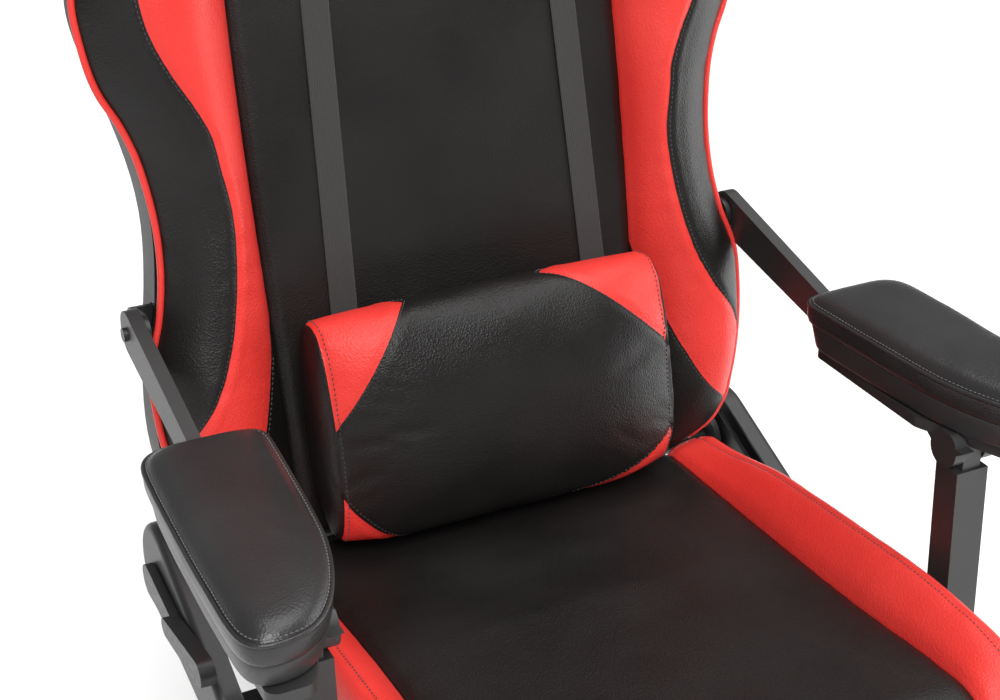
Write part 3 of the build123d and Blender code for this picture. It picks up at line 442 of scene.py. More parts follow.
def closed_slab(name, front, rear, materials, keep=None):
    """A closed piece from a front grid, a rear grid and the walls between their borders."""
    rows, cols = front.shape[:2]
    faces = grid_faces(rows, cols, keep=keep)
    count = rows * cols
    faces_all = faces + [tuple(i + count for i in f[::-1]) for f in faces]
    seen = {(a, b): True for f in faces for a, b in zip(f, f[1:] + f[:1])}
    for a, b in seen:
        if (b, a) not in seen:
            faces_all.append((b, a, a + count, b + count))
    points = np.concatenate([front.reshape(-1, 3), rear.reshape(-1, 3)])
    obj = make_object(name, points, faces_all, materials)
    work = bmesh.new()
    work.from_mesh(obj.data)
    bmesh.ops.delete(work, geom=[v for v in work.verts if not v.link_faces], context="VERTS")
    bmesh.ops.recalc_face_normals(work, faces=work.faces)
    work.to_mesh(obj.data)
    work.free()
    return obj


def finish_piece(obj, body, replaced=()):
    """Attaches a piece to its body and hides the CAD nodes it replaces."""
    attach(obj, body)
    if replaced:
        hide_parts(*replaced)
    return obj


# ---- Back: centre panel and bolsters

# Each curve below is a function of the height up the back: the outline's half width, the seam between
# panel and bolster, the crest's height and place, and the two borders of the red band.
outline = track((4, 224), (12, 244), (30, 264), (60, 277), (100, 287), (150, 292), (184, 291),
                (227, 277), (263, 270), (302, 268), (339, 271), (367, 276), (394, 285), (421, 298),
                (460, 306), (500, 307), (535, 296), (570, 266), (605, 224), (645, 188), (690, 173),
                (725, 169), (775, 158), (800, 146), (816, 130), (826, 112))
seam_x = track((4, 178), (560, 178), (610, 175), (645, 173), (690, 150), (740, 128), (826, 92))
crest_rise = track((4, 12), (40, 28), (90, 38), (150, 41), (220, 36), (308, 32), (420, 36), (500, 38),
                   (560, 30), (610, 16), (645, 7), (700, 9), (826, 5))
crest_share = track((4, 0.62), (150, 0.62), (220, 0.52), (308, 0.40), (420, 0.42), (520, 0.45),
                    (645, 0.5), (826, 0.5))
red_inner = track((4, 262), (36, 262), (60, 237), (101, 213), (154, 194), (206, 181), (236, 177),
                  (271, 170), (640, 150), (826, 80))
red_outer = track((4, 330), (40, 312), (80, 292), (127, 269), (158, 247), (196, 229), (232, 219),
                  (266, 213), (314, 210), (350, 215), (377, 219), (403, 230), (429, 244), (465, 258),
                  (505, 262), (545, 252), (575, 236), (610, 212), (645, 196), (680, 200), (826, 200))


def bolster_grid():
    """Front of one bolster from the seam, over the crest, to the piping, then round the side."""
    levels = np.concatenate([np.linspace(4, 40, 10), np.linspace(44, 800, 170), np.linspace(803, 826, 8)])
    share = np.concatenate([np.linspace(0, 0.06, 4), np.linspace(0.09, 0.94, 30), np.linspace(0.96, 1, 4)])
    top = np.zeros((len(levels), len(share), 3))
    for r, v in enumerate(levels):
        x0, x1 = float(seam_x(v)), float(outline(v))
        width = x1 - x0
        rise, peak = float(crest_rise(v)), float(crest_share(v))
        edge_rise = 2.0
        rising = np.clip(share / peak, 0, 1)
        falling = np.clip((share - peak) / (1 - peak), 0, 1)
        inner_side = 1 - (1 - rising) ** 2.2
        outer_side = 1 - (1 - edge_rise / max(rise, 3)) * falling ** 2.0
        hump = np.where(share < peak, inner_side, outer_side)
        w = rise * np.clip(hump, -1, 1) - 5 * bump(share * width, 5)
        # the leather tucks in under the piping
        w -= 1.6 * bump((1 - share) * width, 3)
        top[r, :, 0] = x0 + width * share
        top[r, :, 1] = v
        top[r, :, 2] = w
    x, v = top[..., 0], top[..., 1]
    inner = red_inner(v)
    outer = red_outer(v)
    # soft unevenness of the foam, puckers at the seams
    soft = ripple(top, 85, 3.1) * 1.6 + ripple(top, 30, 8.0) * 0.5
    near = bump(x - outer, 16) + bump(x - inner, 14) + bump(x - outline(v), 14)
    pucker = ripple(np.stack([x * 0.25, v, 0 * v], -1), 12, 5.0) * 0.9 * near
    top[..., 2] += soft * np.clip((x - seam_x(v)) / 20, 0, 1) + pucker
    top[..., 2] -= 1.5 * bump(x - outer, 2.2) + 1.2 * bump(x - inner, 2.0) * (inner > seam_x(v) + 1)
    top[..., 2] += 0.9 * bump(np.abs(x - outer) - 7, 4.5)
    tint = np.minimum(x - inner, outer - x)
    return levels, share, top, tint


levels, share, bolster_top, bolster_tint = bolster_grid()
# the side wall's places, out from the outline and forward, from the piping to the rear cover
wall_turns = np.array([(0.5, -3), (0.0, -8), (-1, -16), (-3, -25), (-6, -33), (-9, -36)])
for side, name in ((1, "left"), (-1, "right")):
    rows, cols = bolster_top.shape[:2]
    side_wall = np.zeros((rows, len(wall_turns), 3))
    for k, (dx, w) in enumerate(wall_turns):
        side_wall[:, k, 0] = outline(levels) + dx
        side_wall[:, k, 1] = levels
        side_wall[:, k, 2] = w
    side_wall[..., 0] += ripple(side_wall, 40, 2.0) * 0.7
    rear = side_wall[:, -1:, :].copy()
    rear[..., 0] = seam_x(levels)[:, None] - 1
    full = np.concatenate([bolster_top, side_wall, rear], 1)
    tint = np.concatenate([bolster_tint, np.full((rows, len(wall_turns) + 1), NO_TINT)], 1)
    full[..., 0] *= side
    count = full.shape[1]
    faces = grid_faces(rows, count, wrap=True, flip=side < 0)
    faces.append(tuple(range(count)))
    faces.append(tuple(range((rows - 1) * count, rows * count))[::-1])
    bolster = make_object("back_bolster_leather_" + name, place_back(full).reshape(-1, 3), faces,
                          [two_tone], attributes={"tint": tint})
    outward(bolster)
    finish_piece(bolster, "back", ["back_bolster_" + name])
    piping_path = place_back(np.stack([side * (outline(levels) + 1.0), levels, np.full(rows, 1.5)], 1)) / MM
    piping = tube("back_piping_" + name, piping_path, 3.1, red_leather, step=6)
    finish_piece(piping, "back")
    # stitching beside the seam between the red and the black band
    mirrored = bolster_top * np.array([side, 1, 1])
    world = place_back(mirrored) / MM
    world_n = normals_of(world)
    for label, line, low, high in (("outer", red_outer, 100, 600), ("inner", red_inner, 30, 262)):
        path, ups = [], []
        for v in np.arange(low, high, 4.0):
            x = float(line(v)) + (2.6 if label == "outer" else -2.6)
            x0, x1 = float(seam_x(v)), float(outline(v))
            if not x0 + 4 < x < x1 - 4:
                continue
            r = float(np.interp(v, levels, np.arange(rows)))
            c = float(np.interp((x - x0) / (x1 - x0), share, np.arange(cols)))
            path.append(sample(world, r, c))
            ups.append(sample(world_n, r, c))
        row = stitches("bolster_stitches_" + label + "_" + name, path, ups, thread_black)
        finish_piece(row, "back")


def back_panel():
    """The flat centre panel, dipping into its seams, pierced for the belts."""
    xs_in = np.concatenate([np.linspace(-1, -0.93, 5), np.linspace(-0.9, 0.9, 61), np.linspace(0.93, 1, 5)])
    slot_edges = [SLOT_CENTRE_X - SLOT_HALF_X, SLOT_CENTRE_X + SLOT_HALF_X]
    slot_rows = [SLOT_CENTRE_V - SLOT_HALF_V, SLOT_CENTRE_V + SLOT_HALF_V]
    vs = np.concatenate([[-5, -1], np.linspace(PANEL_FOOT, 610, 110), [slot_rows[0]],
                         np.linspace(624, 666, 9), [slot_rows[1]], np.linspace(680, 800, 24),
                         np.linspace(804, PANEL_TOP + 2, 9)])
    grid = np.zeros((len(vs), len(xs_in), 3))
    for r, v in enumerate(vs):
        half = float(seam_x(v))
        x = xs_in * half
        # the nearest grid lines move to the slots' edges
        if slot_rows[0] - 1 <= v <= slot_rows[1] + 1:
            for edge in (*slot_edges, *(-e for e in slot_edges)):
                x[np.argmin(np.abs(x - edge))] = edge
        if v < PANEL_FOOT - 1:
            x = x * 0.93
        grid[r, :, 0] = x
        grid[r, :, 1] = v
        d = half - np.abs(x)
        w = -5 * bump(d, 6) + 0.6 * bump(d - 14, 10)
        w += ripple(np.stack([x, 0 * x + v, 0 * x], -1), 90, 1.7) * 0.8
        w += ripple(np.stack([x * 0.35, 0 * x + v, 0 * x], -1), 14, 6.0) * 0.7 * bump(d, 18)
        # nothing stands up under the pillow, and the panel turns in at its top and its tail
        w = np.minimum(w, 0.1)
        w -= 9 * np.clip((v - 815) / 13, 0, 1) ** 2 + 6 * np.clip((PANEL_FOOT - v) / 9, 0, 1)
        grid[r, :, 2] = w
    keep = np.ones((len(vs) - 1, len(xs_in) - 1), bool)
    for r in range(len(vs) - 1):
        for c in range(len(xs_in) - 1):
            mx = abs(grid[r, c, 0] + grid[r, c + 1, 0]) / 2
            mv = (vs[r] + vs[r + 1]) / 2
            if slot_edges[0] < mx < slot_edges[1] and slot_rows[0] < mv < slot_rows[1]:
                keep[r, c] = False
    rear = grid.copy()
    rear[..., 2] = REAR_COVER_W
    return closed_slab("back_panel_leather", place_back(grid), place_back(rear), [black_leather], keep)


finish_piece(back_panel(), "back", ["back_cushion"])


def back_top_roll():
    """The padded roll along the top edge of the back, from the front panel over to the rear cover."""
    half_width, crown, front_w, thickness = 118, 8.5, -3, 70.5
    xs_in = np.linspace(-1, 1, 61)
    turns = np.linspace(0, 1, 19)
    ends = np.sqrt(np.clip(1 - np.abs(xs_in) ** 6, 0, 1))
    grid = np.zeros((len(turns), len(xs_in), 3))
    for r, t in enumerate(turns):
        grid[r, :, 0] = xs_in * half_width
        grid[r, :, 1] = PANEL_TOP - 1 + crown * math.sin(math.pi * t) ** 0.6 * ends
        grid[r, :, 2] = front_w - thickness * t
    grid[..., 1] += ripple(grid, 40, 2.6) * 0.5
    under = grid.copy()
    under[..., 1] = PANEL_TOP - 4
    return closed_slab("back_top_roll", place_back(grid), place_back(under), [black_leather])


finish_piece(back_top_roll(), "back")
rim = np.linspace(6, 812, 200)
for side, name in ((1, "left"), (-1, "right")):
    rim_path = place_back(np.stack([side * (outline(rim) - 7.0), rim, np.full(len(rim), -36.5)], 1)) / MM
    rear_piping = tube("back_rear_piping_" + name, rim_path, 3.0, black_leather, step=6)
    finish_piece(rear_piping, "back")


# ---- Pillows

def inflate(obj, pins):
    """Fills a closed cover with air against its pinned seams, moving no point more than the cap."""
    cap = 0.005
    frames = 20
    stiffness = 12.0
    scene = bpy.context.scene
    count = len(obj.data.vertices)
    rest = np.empty(count * 3)
    obj.data.vertices.foreach_get("co", rest)
    group = obj.vertex_groups.new(name="pins")
    for weight in sorted(set(np.round(pins[pins > 0], 2))):
        members = [int(i) for i in np.flatnonzero(np.abs(pins - weight) < 0.006)]
        group.add(members, float(weight), "REPLACE")
    cloth = obj.modifiers.new("Cloth", "CLOTH")
    settings = cloth.settings
    settings.quality = 4
    settings.mass = 0.35
    settings.effector_weights.gravity = 0
    settings.use_pressure = True
    settings.uniform_pressure_force = 5.0
    settings.tension_stiffness = stiffness
    settings.compression_stiffness = stiffness
    settings.shear_stiffness = stiffness * 0.4
    settings.bending_stiffness = 0.4
    settings.vertex_group_mass = "pins"
    cloth.collision_settings.use_collision = False
    cloth.point_cache.frame_end = frames
    for f in range(1, frames + 1):
        scene.frame_set(f)
    shaped = obj.evaluated_get(bpy.context.evaluated_depsgraph_get()).to_mesh()
    moved = np.empty(count * 3)
    shaped.vertices.foreach_get("co", moved)
    obj.modifiers.remove(cloth)
    obj.vertex_groups.remove(group)
    step = (moved - rest).reshape(-1, 3)
    size = np.linalg.norm(step, axis=1, keepdims=True) + 1e-9
    step *= np.tanh(size / cap) * cap / size
    obj.data.vertices.foreach_set("co", (rest.reshape(-1, 3) + step).ravel())
    obj.data.update()
    scene.frame_set(1)


def section_loop(half_height, half_depth, count):
    """A rounded section as v and w at even steps, from the rear middle over the top to the front, and
    its length."""
    power = 2.7
    turn = np.linspace(math.pi, -math.pi, 721)
    c, s = np.cos(turn), np.sin(turn)
    v = half_height * np.sign(s) * np.abs(s) ** (2 / power)
    w = half_depth * np.sign(c) * np.abs(c) ** (2 / power)
    run = np.concatenate([[0], np.cumsum(np.hypot(np.diff(v), np.diff(w)))])
    places = np.linspace(0, run[-1], count, endpoint=False)
    return np.interp(places, run, v), np.interp(places, run, w), run[-1]


CORNER_BEND_UPPER = 1.12     # the border of a coloured corner is bowed out above 1 and hollow below it
CORNER_BEND_LOWER = 0.85


def pillow(name, body, node, width, height, depth, bottom, shift, corners):
    """A stuffed pillow: a wrapped middle with coloured corners, and an end panel at each side.

    bottom is its lowest place up the back and shift its place across. corners are
    (end, upper) -> (length along the pillow, length round it)."""
    swell = 4.0
    rear = 6.6
    half = width / 2 - swell - 3
    cols = 112
    bulge = 10
    ends = np.array([0.04, 0.2, 0.38, 0.55, 0.7, 0.82, 0.91, 0.97])
    inside = np.concatenate([[0, 1.2, 2.6, 5, 8.5, 13], np.arange(18, half, 5.0)])
    stations = np.concatenate([-half + inside, half - inside[::-1]])
    scales = np.concatenate([ends, np.ones(len(stations)), ends[::-1]])
    xs = np.concatenate([-half - bulge * np.sqrt(1 - ends ** 2), stations,
                         half + bulge * np.sqrt(1 - ends[::-1] ** 2)])
    grid = np.zeros((len(xs), cols, 3))
    tint = np.full((len(xs), cols), NO_TINT)
    arc = np.zeros((len(xs), cols))
    for r, (x, scale) in enumerate(zip(xs, scales)):
        reach = np.clip((half - abs(x)) / 85, 0, 1)
        grow = 1 - (1 - reach) ** 2.3
        half_depth = (depth - swell) / 2 * (0.76 + 0.24 * grow)
        half_height = (height - swell) / 2 * (0.955 + 0.045 * grow)
        seam = 1.6 * float(bump(half - abs(x), 1.6)) if scale == 1 else 0
        v, w, length = section_loop(half_height - seam, half_depth - seam, cols)
        grid[r, :, 0] = shift + x
        grid[r, :, 1] = bottom + height / 2 + v * scale
        grid[r, :, 2] = rear + half_depth + 1 + w * scale
        # arc is the length round the section from the middle of its top
        arc[r] = np.arange(cols) / cols * length - length * 0.25
        if scale == 1:
            for (end, upper), (along, around) in corners.items():
                away = (half - x) if end > 0 else (x + half)
                b = np.abs(arc[r]) if upper else np.abs(arc[r] - length / 2)
                bend = CORNER_BEND_UPPER if upper else CORNER_BEND_LOWER
                value = 1 - ((away / along) ** bend + (b / around) ** bend)
                tint[r] = np.maximum(tint[r], value * min(along, around) * 0.8)
    # the cover dips at the sewn lines and stands up beside them
    n = normals_of(grid, wrap=True)
    line = np.where(np.abs(tint) < 49, tint, 50)
    depth_change = -1.7 * bump(line, 2.4) + 0.8 * bump(np.abs(line) - 8, 5)
    depth_change += ripple(grid, 60, 4.0) * 1.2
    from_end = half - np.abs(grid[..., 0] - shift)
    depth_change += ripple(grid * np.array([0.35, 1, 1]), 13, 9.0) * 0.9 * bump(from_end, 20)
    depth_change *= (scales[:, None] >= 0.9)
    grid = grid + n * depth_change[..., None]
    faces = grid_faces(len(xs), cols, wrap=True) + end_caps(len(xs), cols)
    obj = make_object(name, place_back(grid).reshape(-1, 3), faces, [two_tone], attributes={"tint": tint})
    outward(obj)
    # the cloth is held at the end seams, at the rear, and almost held at the corners' seams
    pins = np.zeros(grid.shape[:2])
    is_seam = np.abs(np.abs(grid[..., 0] - shift) - half) < 0.7
    pins[is_seam & (scales[:, None] == 1)] = 1.0
    pins[np.abs(line) < 2.0] = 0.8
    pins[grid[..., 2] < rear + 5] = 1.0
    inflate(obj, pins.ravel())
    shaped = np.empty(grid.size)
    obj.data.vertices.foreach_get("co", shaped)
    shaped = shaped.reshape(grid.shape) / MM
    shaped_n = normals_of(shaped, wrap=True)
    finish_piece(obj, body, [node])
    for end in (-1, 1):
        row = int(np.argmin(np.abs(xs - end * (half - 3.2)) + (scales < 1) * 999))
        path = np.concatenate([shaped[row], shaped[row][:1]])
        ups = np.concatenate([shaped_n[row], shaped_n[row][:1]])
        thread = stitches(name + "_end_stitches_" + ("left" if end > 0 else "right"), path, ups, thread_black)
        finish_piece(thread, body)
    for (end, upper), (along, around) in corners.items():
        path, ups = [], []
        bend = CORNER_BEND_UPPER if upper else CORNER_BEND_LOWER
        for b in np.linspace(-around * 0.98, around * 0.98, 90):
            away = along * max(0.0, 1 - (abs(b) / around) ** bend) ** (1 / bend) + 2.8
            x = (half - away) * end
            r = float(np.interp(x, xs, np.arange(len(xs))))
            nearest = arc[int(round(r))]
            length = nearest[-1] - nearest[0]
            c = (b + length * (0.25 if upper else 0.75)) / length * (cols - 1)
            path.append(sample(shaped, r, c, wrap=True))
            ups.append(sample(shaped_n, r, c, wrap=True))
        label = ("upper_" if upper else "lower_") + ("left" if end > 0 else "right")
        thread = stitches(name + "_seam_stitches_" + label, path, ups, thread_black)
        finish_piece(thread, body)


pillow("lumbar_pillow_leather", "lumbar", "lumbar_pillow", 341, 212, 96, 3, 3,
       {(-1, True): (82, 104), (1, True): (112, 92), (-1, False): (72, 60), (1, False): (165, 52)})
pillow("head_pillow_leather", "neck", "head_pillow", 280, 145, 70, 672, 0,
       {(-1, True): (70, 66), (1, True): (70, 66), (-1, False): (70, 40), (1, False): (70, 40)})


# ---- Webbing straps

def strap(side):
    """One elastic strap: a ribbed band down the front, round the bottom, up the rear and through its slot."""
    corners = [(8, 1.3), (606, 1.3), (611, 4.3), (622, 4.3), (624.3, 2.5), (624.3, -75.5), (622, -77.3),
               (611, -77.3), (606, -74.3), (7, -74.3), (4.4, -72), (4.4, -1)]
    loop = np.array(corners + corners[:1], float)
    steps = []
    for a, b in zip(loop[:-1], loop[1:]):
        count = max(1, int(np.hypot(*(b - a)) / 7))
        steps += [a + (b - a) * k / count for k in range(count)]
    steps = np.array(steps)
    ahead = np.roll(steps, -1, 0) - np.roll(steps, 1, 0)
    ahead /= np.linalg.norm(ahead, axis=1, keepdims=True)
    out = np.stack([-ahead[:, 1], ahead[:, 0]], 1)
    middle = steps.mean(0)
    if ((steps - middle) * out).sum() < 0:
        out = -out
    half_width = 12.5
    ribs, points_per_rib = 12, 5
    across = np.linspace(-1, 1, ribs * points_per_rib + 1)
    upper = 0.8 + 0.17 * np.cos(across * math.pi * ribs)
    upper *= np.clip((1.02 - np.abs(across)) / 0.05, 0.35, 1)
    underside = np.array([[12.0, -0.7], [0, -0.8], [-12.0, -0.7]])
    profile = np.concatenate([np.stack([across * half_width, upper], 1), underside])
    # both straps sit a little to the left and lean in towards the slots
    off_centre, foot_x, slot_x = 11, 131, 111
    share = (steps[:, 0] - 10) / 635.0
    centre = off_centre + side * (foot_x + share * (slot_x - foot_x))
    rings = np.zeros((len(steps), len(profile), 3))
    rings[..., 0] = centre[:, None] + profile[None, :, 0]
    rings[..., 1] = steps[:, None, 0] + out[:, None, 0] * profile[None, :, 1]
    rings[..., 2] = steps[:, None, 1] + out[:, None, 1] * profile[None, :, 1]
    rows, cols = rings.shape[:2]
    faces = []
    for r in range(rows):
        for c in range(cols):
            a, b = (r + 1) % rows, (c + 1) % cols
            faces.append((r * cols + c, r * cols + b, a * cols + b, a * cols + c))
    obj = make_object("webbing_" + ("left" if side > 0 else "right"), place_back(rings).reshape(-1, 3),
                      faces, [webbing])
    finish_piece(outward(obj), "back", ["lumbar_straps"] if side > 0 else [])


strap(-1)
strap(1)


# ---- Seat

def seat_path():
    """Places along the seat's top from the rear to under the front: y, z, normal y, normal z and the
    y of the place below it on the pan."""
    roll_y, roll_r = -446, 42
    stops = []
    for y in np.concatenate([[-6, -8, -11, -16], np.linspace(-22, roll_y, 92)]):
        stops.append((y, -3.5 * float(bump(y + 6, 6)), 0, 1, y))
    for a in np.linspace(0, 90, 12)[1:]:
        t = math.radians(a)
        y = roll_y - roll_r * math.sin(t)
        stops.append((y, -roll_r + roll_r * math.cos(t), -math.sin(t), math.cos(t), max(SEAT_PAN_Y, y)))
    for z in (-50, -58, -66, -73, -80, -87, -93, SEAT_COVER_Z):
        stops.append((-488.5 + 1.5 * ((z + 72) / 23) ** 2, z, -1, 0, SEAT_PAN_Y))
    return np.array(stops)


STATION_STEP = 4.6           # the distance between two places along the seat

path = seat_path()
base = path[:, :2]
up = path[:, 2:4]
below_y = path[:, 4]
shares = np.concatenate([np.linspace(-1, -0.95, 5), np.linspace(-0.93, 0.93, 63), np.linspace(0.95, 1, 5)])
half_panel = 198.0 - 5.0 * bump(base[:, 0] + 250, 130)
panel = np.zeros((len(path), len(shares), 3))
floor_grid = np.zeros_like(panel)
for r in range(len(path)):
    x = shares * half_panel[r]
    d = half_panel[r] - np.abs(x)
    fade = np.clip((-base[r, 0] - 105) / 110, 0, 1)
    h = 7 * (1 - (x / half_panel[r]) ** 2) * fade - 5 * bump(d, 6)
    spot = np.stack([x, np.full_like(x, r * STATION_STEP), 0 * x], -1)
    h += ripple(spot, 80, 2.2) * 1.4 * fade
    h += ripple(spot * np.array([0.35, 1, 1]), 15, 7.7) * 0.8 * bump(d, 20)
    panel[r, :, 0] = x
    panel[r, :, 1] = base[r, 0] + up[r, 0] * h
    panel[r, :, 2] = base[r, 1] + up[r, 1] * h
    floor_grid[r, :, 0] = x
    floor_grid[r, :, 1] = below_y[r]
    floor_grid[r, :, 2] = min(SEAT_PAN_Z, base[r, 1])
cushion = closed_slab("seat_panel_leather", place_seat(panel), place_seat(floor_grid), [seat_leather])
finish_piece(cushion, "seat", ["seat_cushion"])

# A wing's cross-section: its height along the body of the seat, where its points lie between the
# panel's seam and its outer side, and its profile there. Its ridge seam is at RIDGE_SHARE.
wing_rise = track((-490, 0), (-470, 6), (-430, 18), (-390, 24), (-200, 25), (-140, 22), (-100, 15),
                  (-60, 7), (-6, 2))
wing_profile = track((0, -0.1), (0.07, 0.12), (0.3, 0.62), (0.5, 0.9), (0.66, 1.0), (0.8, 0.97),
                     (0.93, 0.72), (1.0, 0.35))
RIDGE_SHARE = 0.685
columns = np.array([0, 0.03, 0.07, 0.13, 0.2, 0.28, 0.36, 0.44, 0.52, 0.58, 0.63, 0.66, RIDGE_SHARE, 0.71,
                    0.75, 0.8, 0.86, 0.91, 0.95, 0.98, 1.0])
side_shares = (0.04, 0.1, 0.2, 0.35, 0.5, 0.65, 0.8, 0.92, 1.0)
RED_TINT, BORDER_TINT, BLACK_TINT = 20.0, 2.0, -20.0
wing_tint = np.concatenate([np.where(columns < 0.02, 1.0, RED_TINT), [BORDER_TINT],
                            np.full(len(side_shares) + 3, BLACK_TINT)])


def wing_section(r):
    """One section of a wing at place r along the seat: its top, its side and its hidden inner wall."""
    x0, x1 = half_panel[r] + 0.4, SEAT_SIDE_X
    rise = float(wing_rise(base[r, 0])) + 4
    x = x0 + (x1 - x0) * columns
    h = rise * wing_profile(columns) - 4 * bump(x - x0, 4) - 1.6 * bump(columns - RIDGE_SHARE, 0.035)
    spot = np.stack([x, np.full_like(x, r * STATION_STEP), 0 * x], -1)
    h += ripple(spot, 60, 6.1) * 1.3 * np.clip(columns * 4, 0, 1)
    near_seams = bump(columns, 0.25) + bump(columns - RIDGE_SHARE, 0.15)
    h += ripple(spot * np.array([0.3, 1, 1]), 13, 3.3) * 0.7 * near_seams
    top = np.stack([x, base[r, 0] + up[r, 0] * h, base[r, 1] + up[r, 1] * h], 1)
    foot = np.array([x1 - 0.5, below_y[r], SEAT_COVER_Z])
    if base[r, 0] < -470:
        foot = np.array([x1 - 1.5, min(below_y[r], base[r, 0] + 3), SEAT_COVER_Z])
    sides = [top[-1] + (foot - top[-1]) * s + np.array([0.8, 0, 0]) * math.sin(math.pi * s)
             for s in side_shares]
    pan_y = max(below_y[r], SEAT_PAN_Y)
    pan_z = SEAT_PAN_Z - 0.2
    middle_z = -45.0 if base[r, 1] > -30 else -72.0
    inner = [np.array([SEAT_PAN_X, pan_y, SEAT_COVER_Z]), np.array([SEAT_PAN_X, pan_y, pan_z]),
             np.array([x0, pan_y, min(pan_z, base[r, 1])]),
             np.array([x0, (below_y[r] + base[r, 0]) / 2, middle_z])]
    return np.concatenate([top, sides, inner])


for side, name in ((1, "left"), (-1, "right")):
    wing = np.array([wing_section(r) for r in range(len(path))])
    wing[..., 0] *= side
    rows, cols = wing.shape[:2]
    faces = grid_faces(rows, cols, wrap=True, flip=side < 0)
    faces.append(tuple(range(cols)))
    faces.append(tuple(range((rows - 1) * cols, rows * cols))[::-1])
    obj = make_object("seat_wing_leather_" + name, place_seat(wing).reshape(-1, 3), faces, [two_tone],
                      attributes={"tint": np.tile(wing_tint, (rows, 1))})
    outward(obj)
    finish_piece(obj, "seat", ["seat_wing_" + name])
    # stitching just inside the ridge seam
    world = place_seat(wing[:, :len(columns)]) / MM
    world_n = normals_of(world)
    stitch_column = 11.2
    places = np.arange(2, rows - 6, 1.0)
    row = stitches("wing_stitches_" + name, [sample(world, r, stitch_column) for r in places],
                   [sample(world_n, r, stitch_column) for r in places], thread_black)
    finish_piece(row, "seat")


# ---- Armrest pads

def pad_outline():
    """Outline of the left armrest pad seen from above, its front corner fuller on the outer side."""
    corners = [(251, 97), (255, 34), (259, -18), (263, -59), (269, -86), (276, -107), (284, -126),
               (294, -142), (303, -152), (313, -159), (328, -162.5), (344, -163), (352, -159), (357, -149),
               (359, -130), (359, -60), (357, 20), (354, 80), (350, 97), (340, 105), (322, 107), (280, 107),
               (262, 106), (254, 103)]
    loop = np.array(corners + corners[:1], float)
    run = np.concatenate([[0], np.cumsum(np.linalg.norm(np.diff(loop, axis=0), axis=1))])
    places = np.linspace(0, run[-1], 132, endpoint=False)
    line = np.stack([np.interp(places, run, loop[:, 0]), np.interp(places, run, loop[:, 1])], 1)
    for _ in range(5):
        line = (np.roll(line, 1, 0) + 2 * line + np.roll(line, -1, 0)) / 4
    return line


# Rings of the pad and of the tray it sits in: the share of the outline's size, and the height.
pad_rings = [(0.9, 640.5), (0.95, 640.6), (0.98, 642.5), (0.995, 646), (1.0, 650), (1.0, 653.5),
             (0.995, 656.5), (0.985, 658.6), (0.965, 659.2), (0.945, 661.2), (0.905, 664.4), (0.85, 667.2),
             (0.77, 669.4), (0.66, 670.8), (0.53, 671.8), (0.38, 672.4), (0.22, 672.8), (0.08, 672.9)]
cradle_rings = [(0.6, 617.2), (0.86, 617.3), (0.89, 618.5), (0.905, 621), (0.93, 632), (0.945, 638.5),
                (0.94, 640.2), (0.5, 640.3)]
WELT_RING, STITCH_RING, FIRST_SOFT_RING = 7, 9, 4


def ring_grid(from_middle, rings, length_share):
    """A grid of rings; length_share gives each ring's share of the length from its share of the width."""
    grid = []
    for share, z in rings:
        flat = PAD_MIDDLE + from_middle * np.array([share, length_share(share)])
        grid.append(np.stack([flat[:, 0], flat[:, 1], np.full(len(flat), z)], 1))
    return np.array(grid)


from_middle = pad_outline() - PAD_MIDDLE
for side, name in ((1, "left"), (-1, "right")):
    # the rings close in more slowly along the pad than across it
    grid = ring_grid(from_middle, pad_rings, lambda share: share + 0.55 * share * (1 - share))
    lift = ripple(grid, 45, 5.5) * 0.7 + ripple(grid, 17, 1.5) * 0.25
    grid[FIRST_SOFT_RING:, :, 2] += lift[FIRST_SOFT_RING:]
    grid[..., 0] *= side
    rows, cols = grid.shape[:2]
    faces = grid_faces(rows, cols, wrap=True) + end_caps(rows, cols)
    pad = make_object("arm_pad_leather_" + name, place_world(grid).reshape(-1, 3), faces, [pad_leather])
    outward(pad)
    finish_piece(pad, "arm_" + name, ["arm_pad_" + name])
    shell = ring_grid(from_middle, cradle_rings, lambda share: share + 0.02)
    shell[..., 0] *= side
    faces = grid_faces(len(shell), cols, wrap=True) + end_caps(len(shell), cols)
    cradle = make_object("arm_pad_cradle_" + name, place_world(shell).reshape(-1, 3), faces,
                         [slot_materials["arm_plastic"]])
    finish_piece(outward(cradle), "arm_" + name)
    seam = grid[WELT_RING] + np.array([0, 0, 0.3])
    welt = tube("arm_pad_welt_" + name, np.concatenate([seam, seam[:1]]), 1.9, pad_leather, step=3,
                closed=True)
    finish_piece(welt, "arm_" + name)
    above = grid[STITCH_RING] + np.array([0, 0, 0.3])
    n = normals_of(grid, wrap=True)[STITCH_RING]
    thread = stitches("arm_pad_stitches_" + name, np.concatenate([above, above[:1]]),
                      np.concatenate([n, n[:1]]), thread_grey, pitch=4.0, length=2.8, radius=0.42)
    finish_piece(thread, "arm_" + name)


# ---- Finishes of the CAD nodes

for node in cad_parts.values():
    for holder in node.material_slots:
        key = holder.material.name.split(".")[0] if holder.material else ""
        if key in slot_materials:
            holder.material = slot_materials[key]


# ---- Floor, light and camera

floor_mat, nodes, links, shader, coords = new_material("studio_floor")
shade = noise_node(nodes, links, coords, 1.5, 2)
links.new(blend_colours(nodes, links, shade, (0.86, 0.86, 0.86), (0.9, 0.9, 0.9)),
          shader.inputs["Base Color"])
shader.inputs["Roughness"].default_value = 0.9
FLOOR_HALF = 9
floor_corners = [(-FLOOR_HALF, -FLOOR_HALF, 0), (FLOOR_HALF, -FLOOR_HALF, 0), (FLOOR_HALF, FLOOR_HALF, 0),
                 (-FLOOR_HALF, FLOOR_HALF, 0)]
floor = make_object("studio_floor", floor_corners, [(0, 1, 2, 3)], [floor_mat])

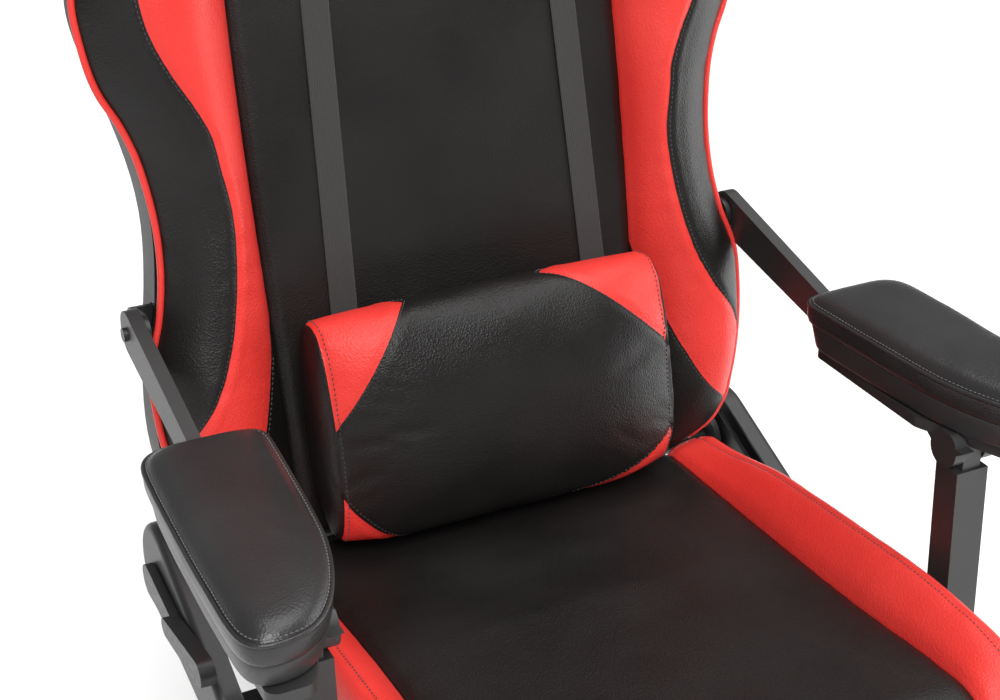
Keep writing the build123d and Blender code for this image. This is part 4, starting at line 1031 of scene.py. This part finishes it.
# the world looks white to the camera and lights the chair only dimly
world = bpy.data.worlds.new("studio")
bpy.context.scene.world = world
world.use_nodes = True
sky_nodes, sky_links = world.node_tree.nodes, world.node_tree.links
sky_nodes["Background"].inputs["Color"].default_value = (1, 1, 1, 1)
sky_nodes["Background"].inputs["Strength"].default_value = 0.26
backdrop = sky_nodes.new("ShaderNodeBackground")
backdrop.inputs["Color"].default_value = (1, 1, 1, 1)
backdrop.inputs["Strength"].default_value = 1.0
chooser = sky_nodes.new("ShaderNodeMixShader")
sky_links.new(sky_nodes.new("ShaderNodeLightPath").outputs["Is Camera Ray"], chooser.inputs[0])
sky_links.new(sky_nodes["Background"].outputs[0], chooser.inputs[1])
sky_links.new(backdrop.outputs[0], chooser.inputs[2])
sky_links.new(chooser.outputs[0], sky_nodes["World Output"].inputs["Surface"])


def softbox(name, place, target, size, power):
    """A rectangular lamp at a place, turned towards its target."""
    lamp = bpy.data.lights.new(name, "AREA")
    lamp.shape = "RECTANGLE"
    lamp.size, lamp.size_y = size
    lamp.energy = power
    obj = bpy.data.objects.new(name, lamp)
    bpy.context.scene.collection.objects.link(obj)
    obj.location = place
    obj.rotation_euler = (Vector(target) - Vector(place)).to_track_quat("-Z", "Y").to_euler()


softbox("side", (2.6, -0.3, 0.8), (0.2, 0.2, 0.75), (1.6, 1.8), 34)
softbox("fill", (-2.4, -2.2, 1.6), (0.0, 0.0, 0.7), (1.4, 1.4), 8)


def sky(name, towards, energy, spread):
    """Soft light from a whole region of the ceiling."""
    lamp = bpy.data.lights.new(name, "SUN")
    lamp.energy = energy
    lamp.angle = math.radians(spread)
    obj = bpy.data.objects.new(name, lamp)
    bpy.context.scene.collection.objects.link(obj)
    obj.rotation_euler = (-Vector(towards)).to_track_quat("-Z", "Y").to_euler()


sky("overhead", (0.28, -0.02, 0.95), 1.9, 50)
sky("key", (-0.16, -0.66, 0.73), 2.5, 30)

# the camera's place and direction as fitted to the photograph's view
AZIMUTH, ELEVATION = math.radians(-26.28), math.radians(27.66)
back_way = Vector((math.sin(AZIMUTH) * math.cos(ELEVATION), -math.cos(AZIMUTH) * math.cos(ELEVATION),
                   math.sin(ELEVATION)))
camera_data = bpy.data.cameras.new("camera")
camera_data.lens = 63.99
camera_data.sensor_width = 36
camera = bpy.data.objects.new("camera", camera_data)
bpy.context.scene.collection.objects.link(camera)
camera.location = (-0.61355, -1.04454, 1.35025)
camera.rotation_euler = (-back_way).to_track_quat("-Z", "Y").to_euler()
bpy.context.scene.camera = camera
bpy.context.scene.view_settings.view_transform = "Standard"
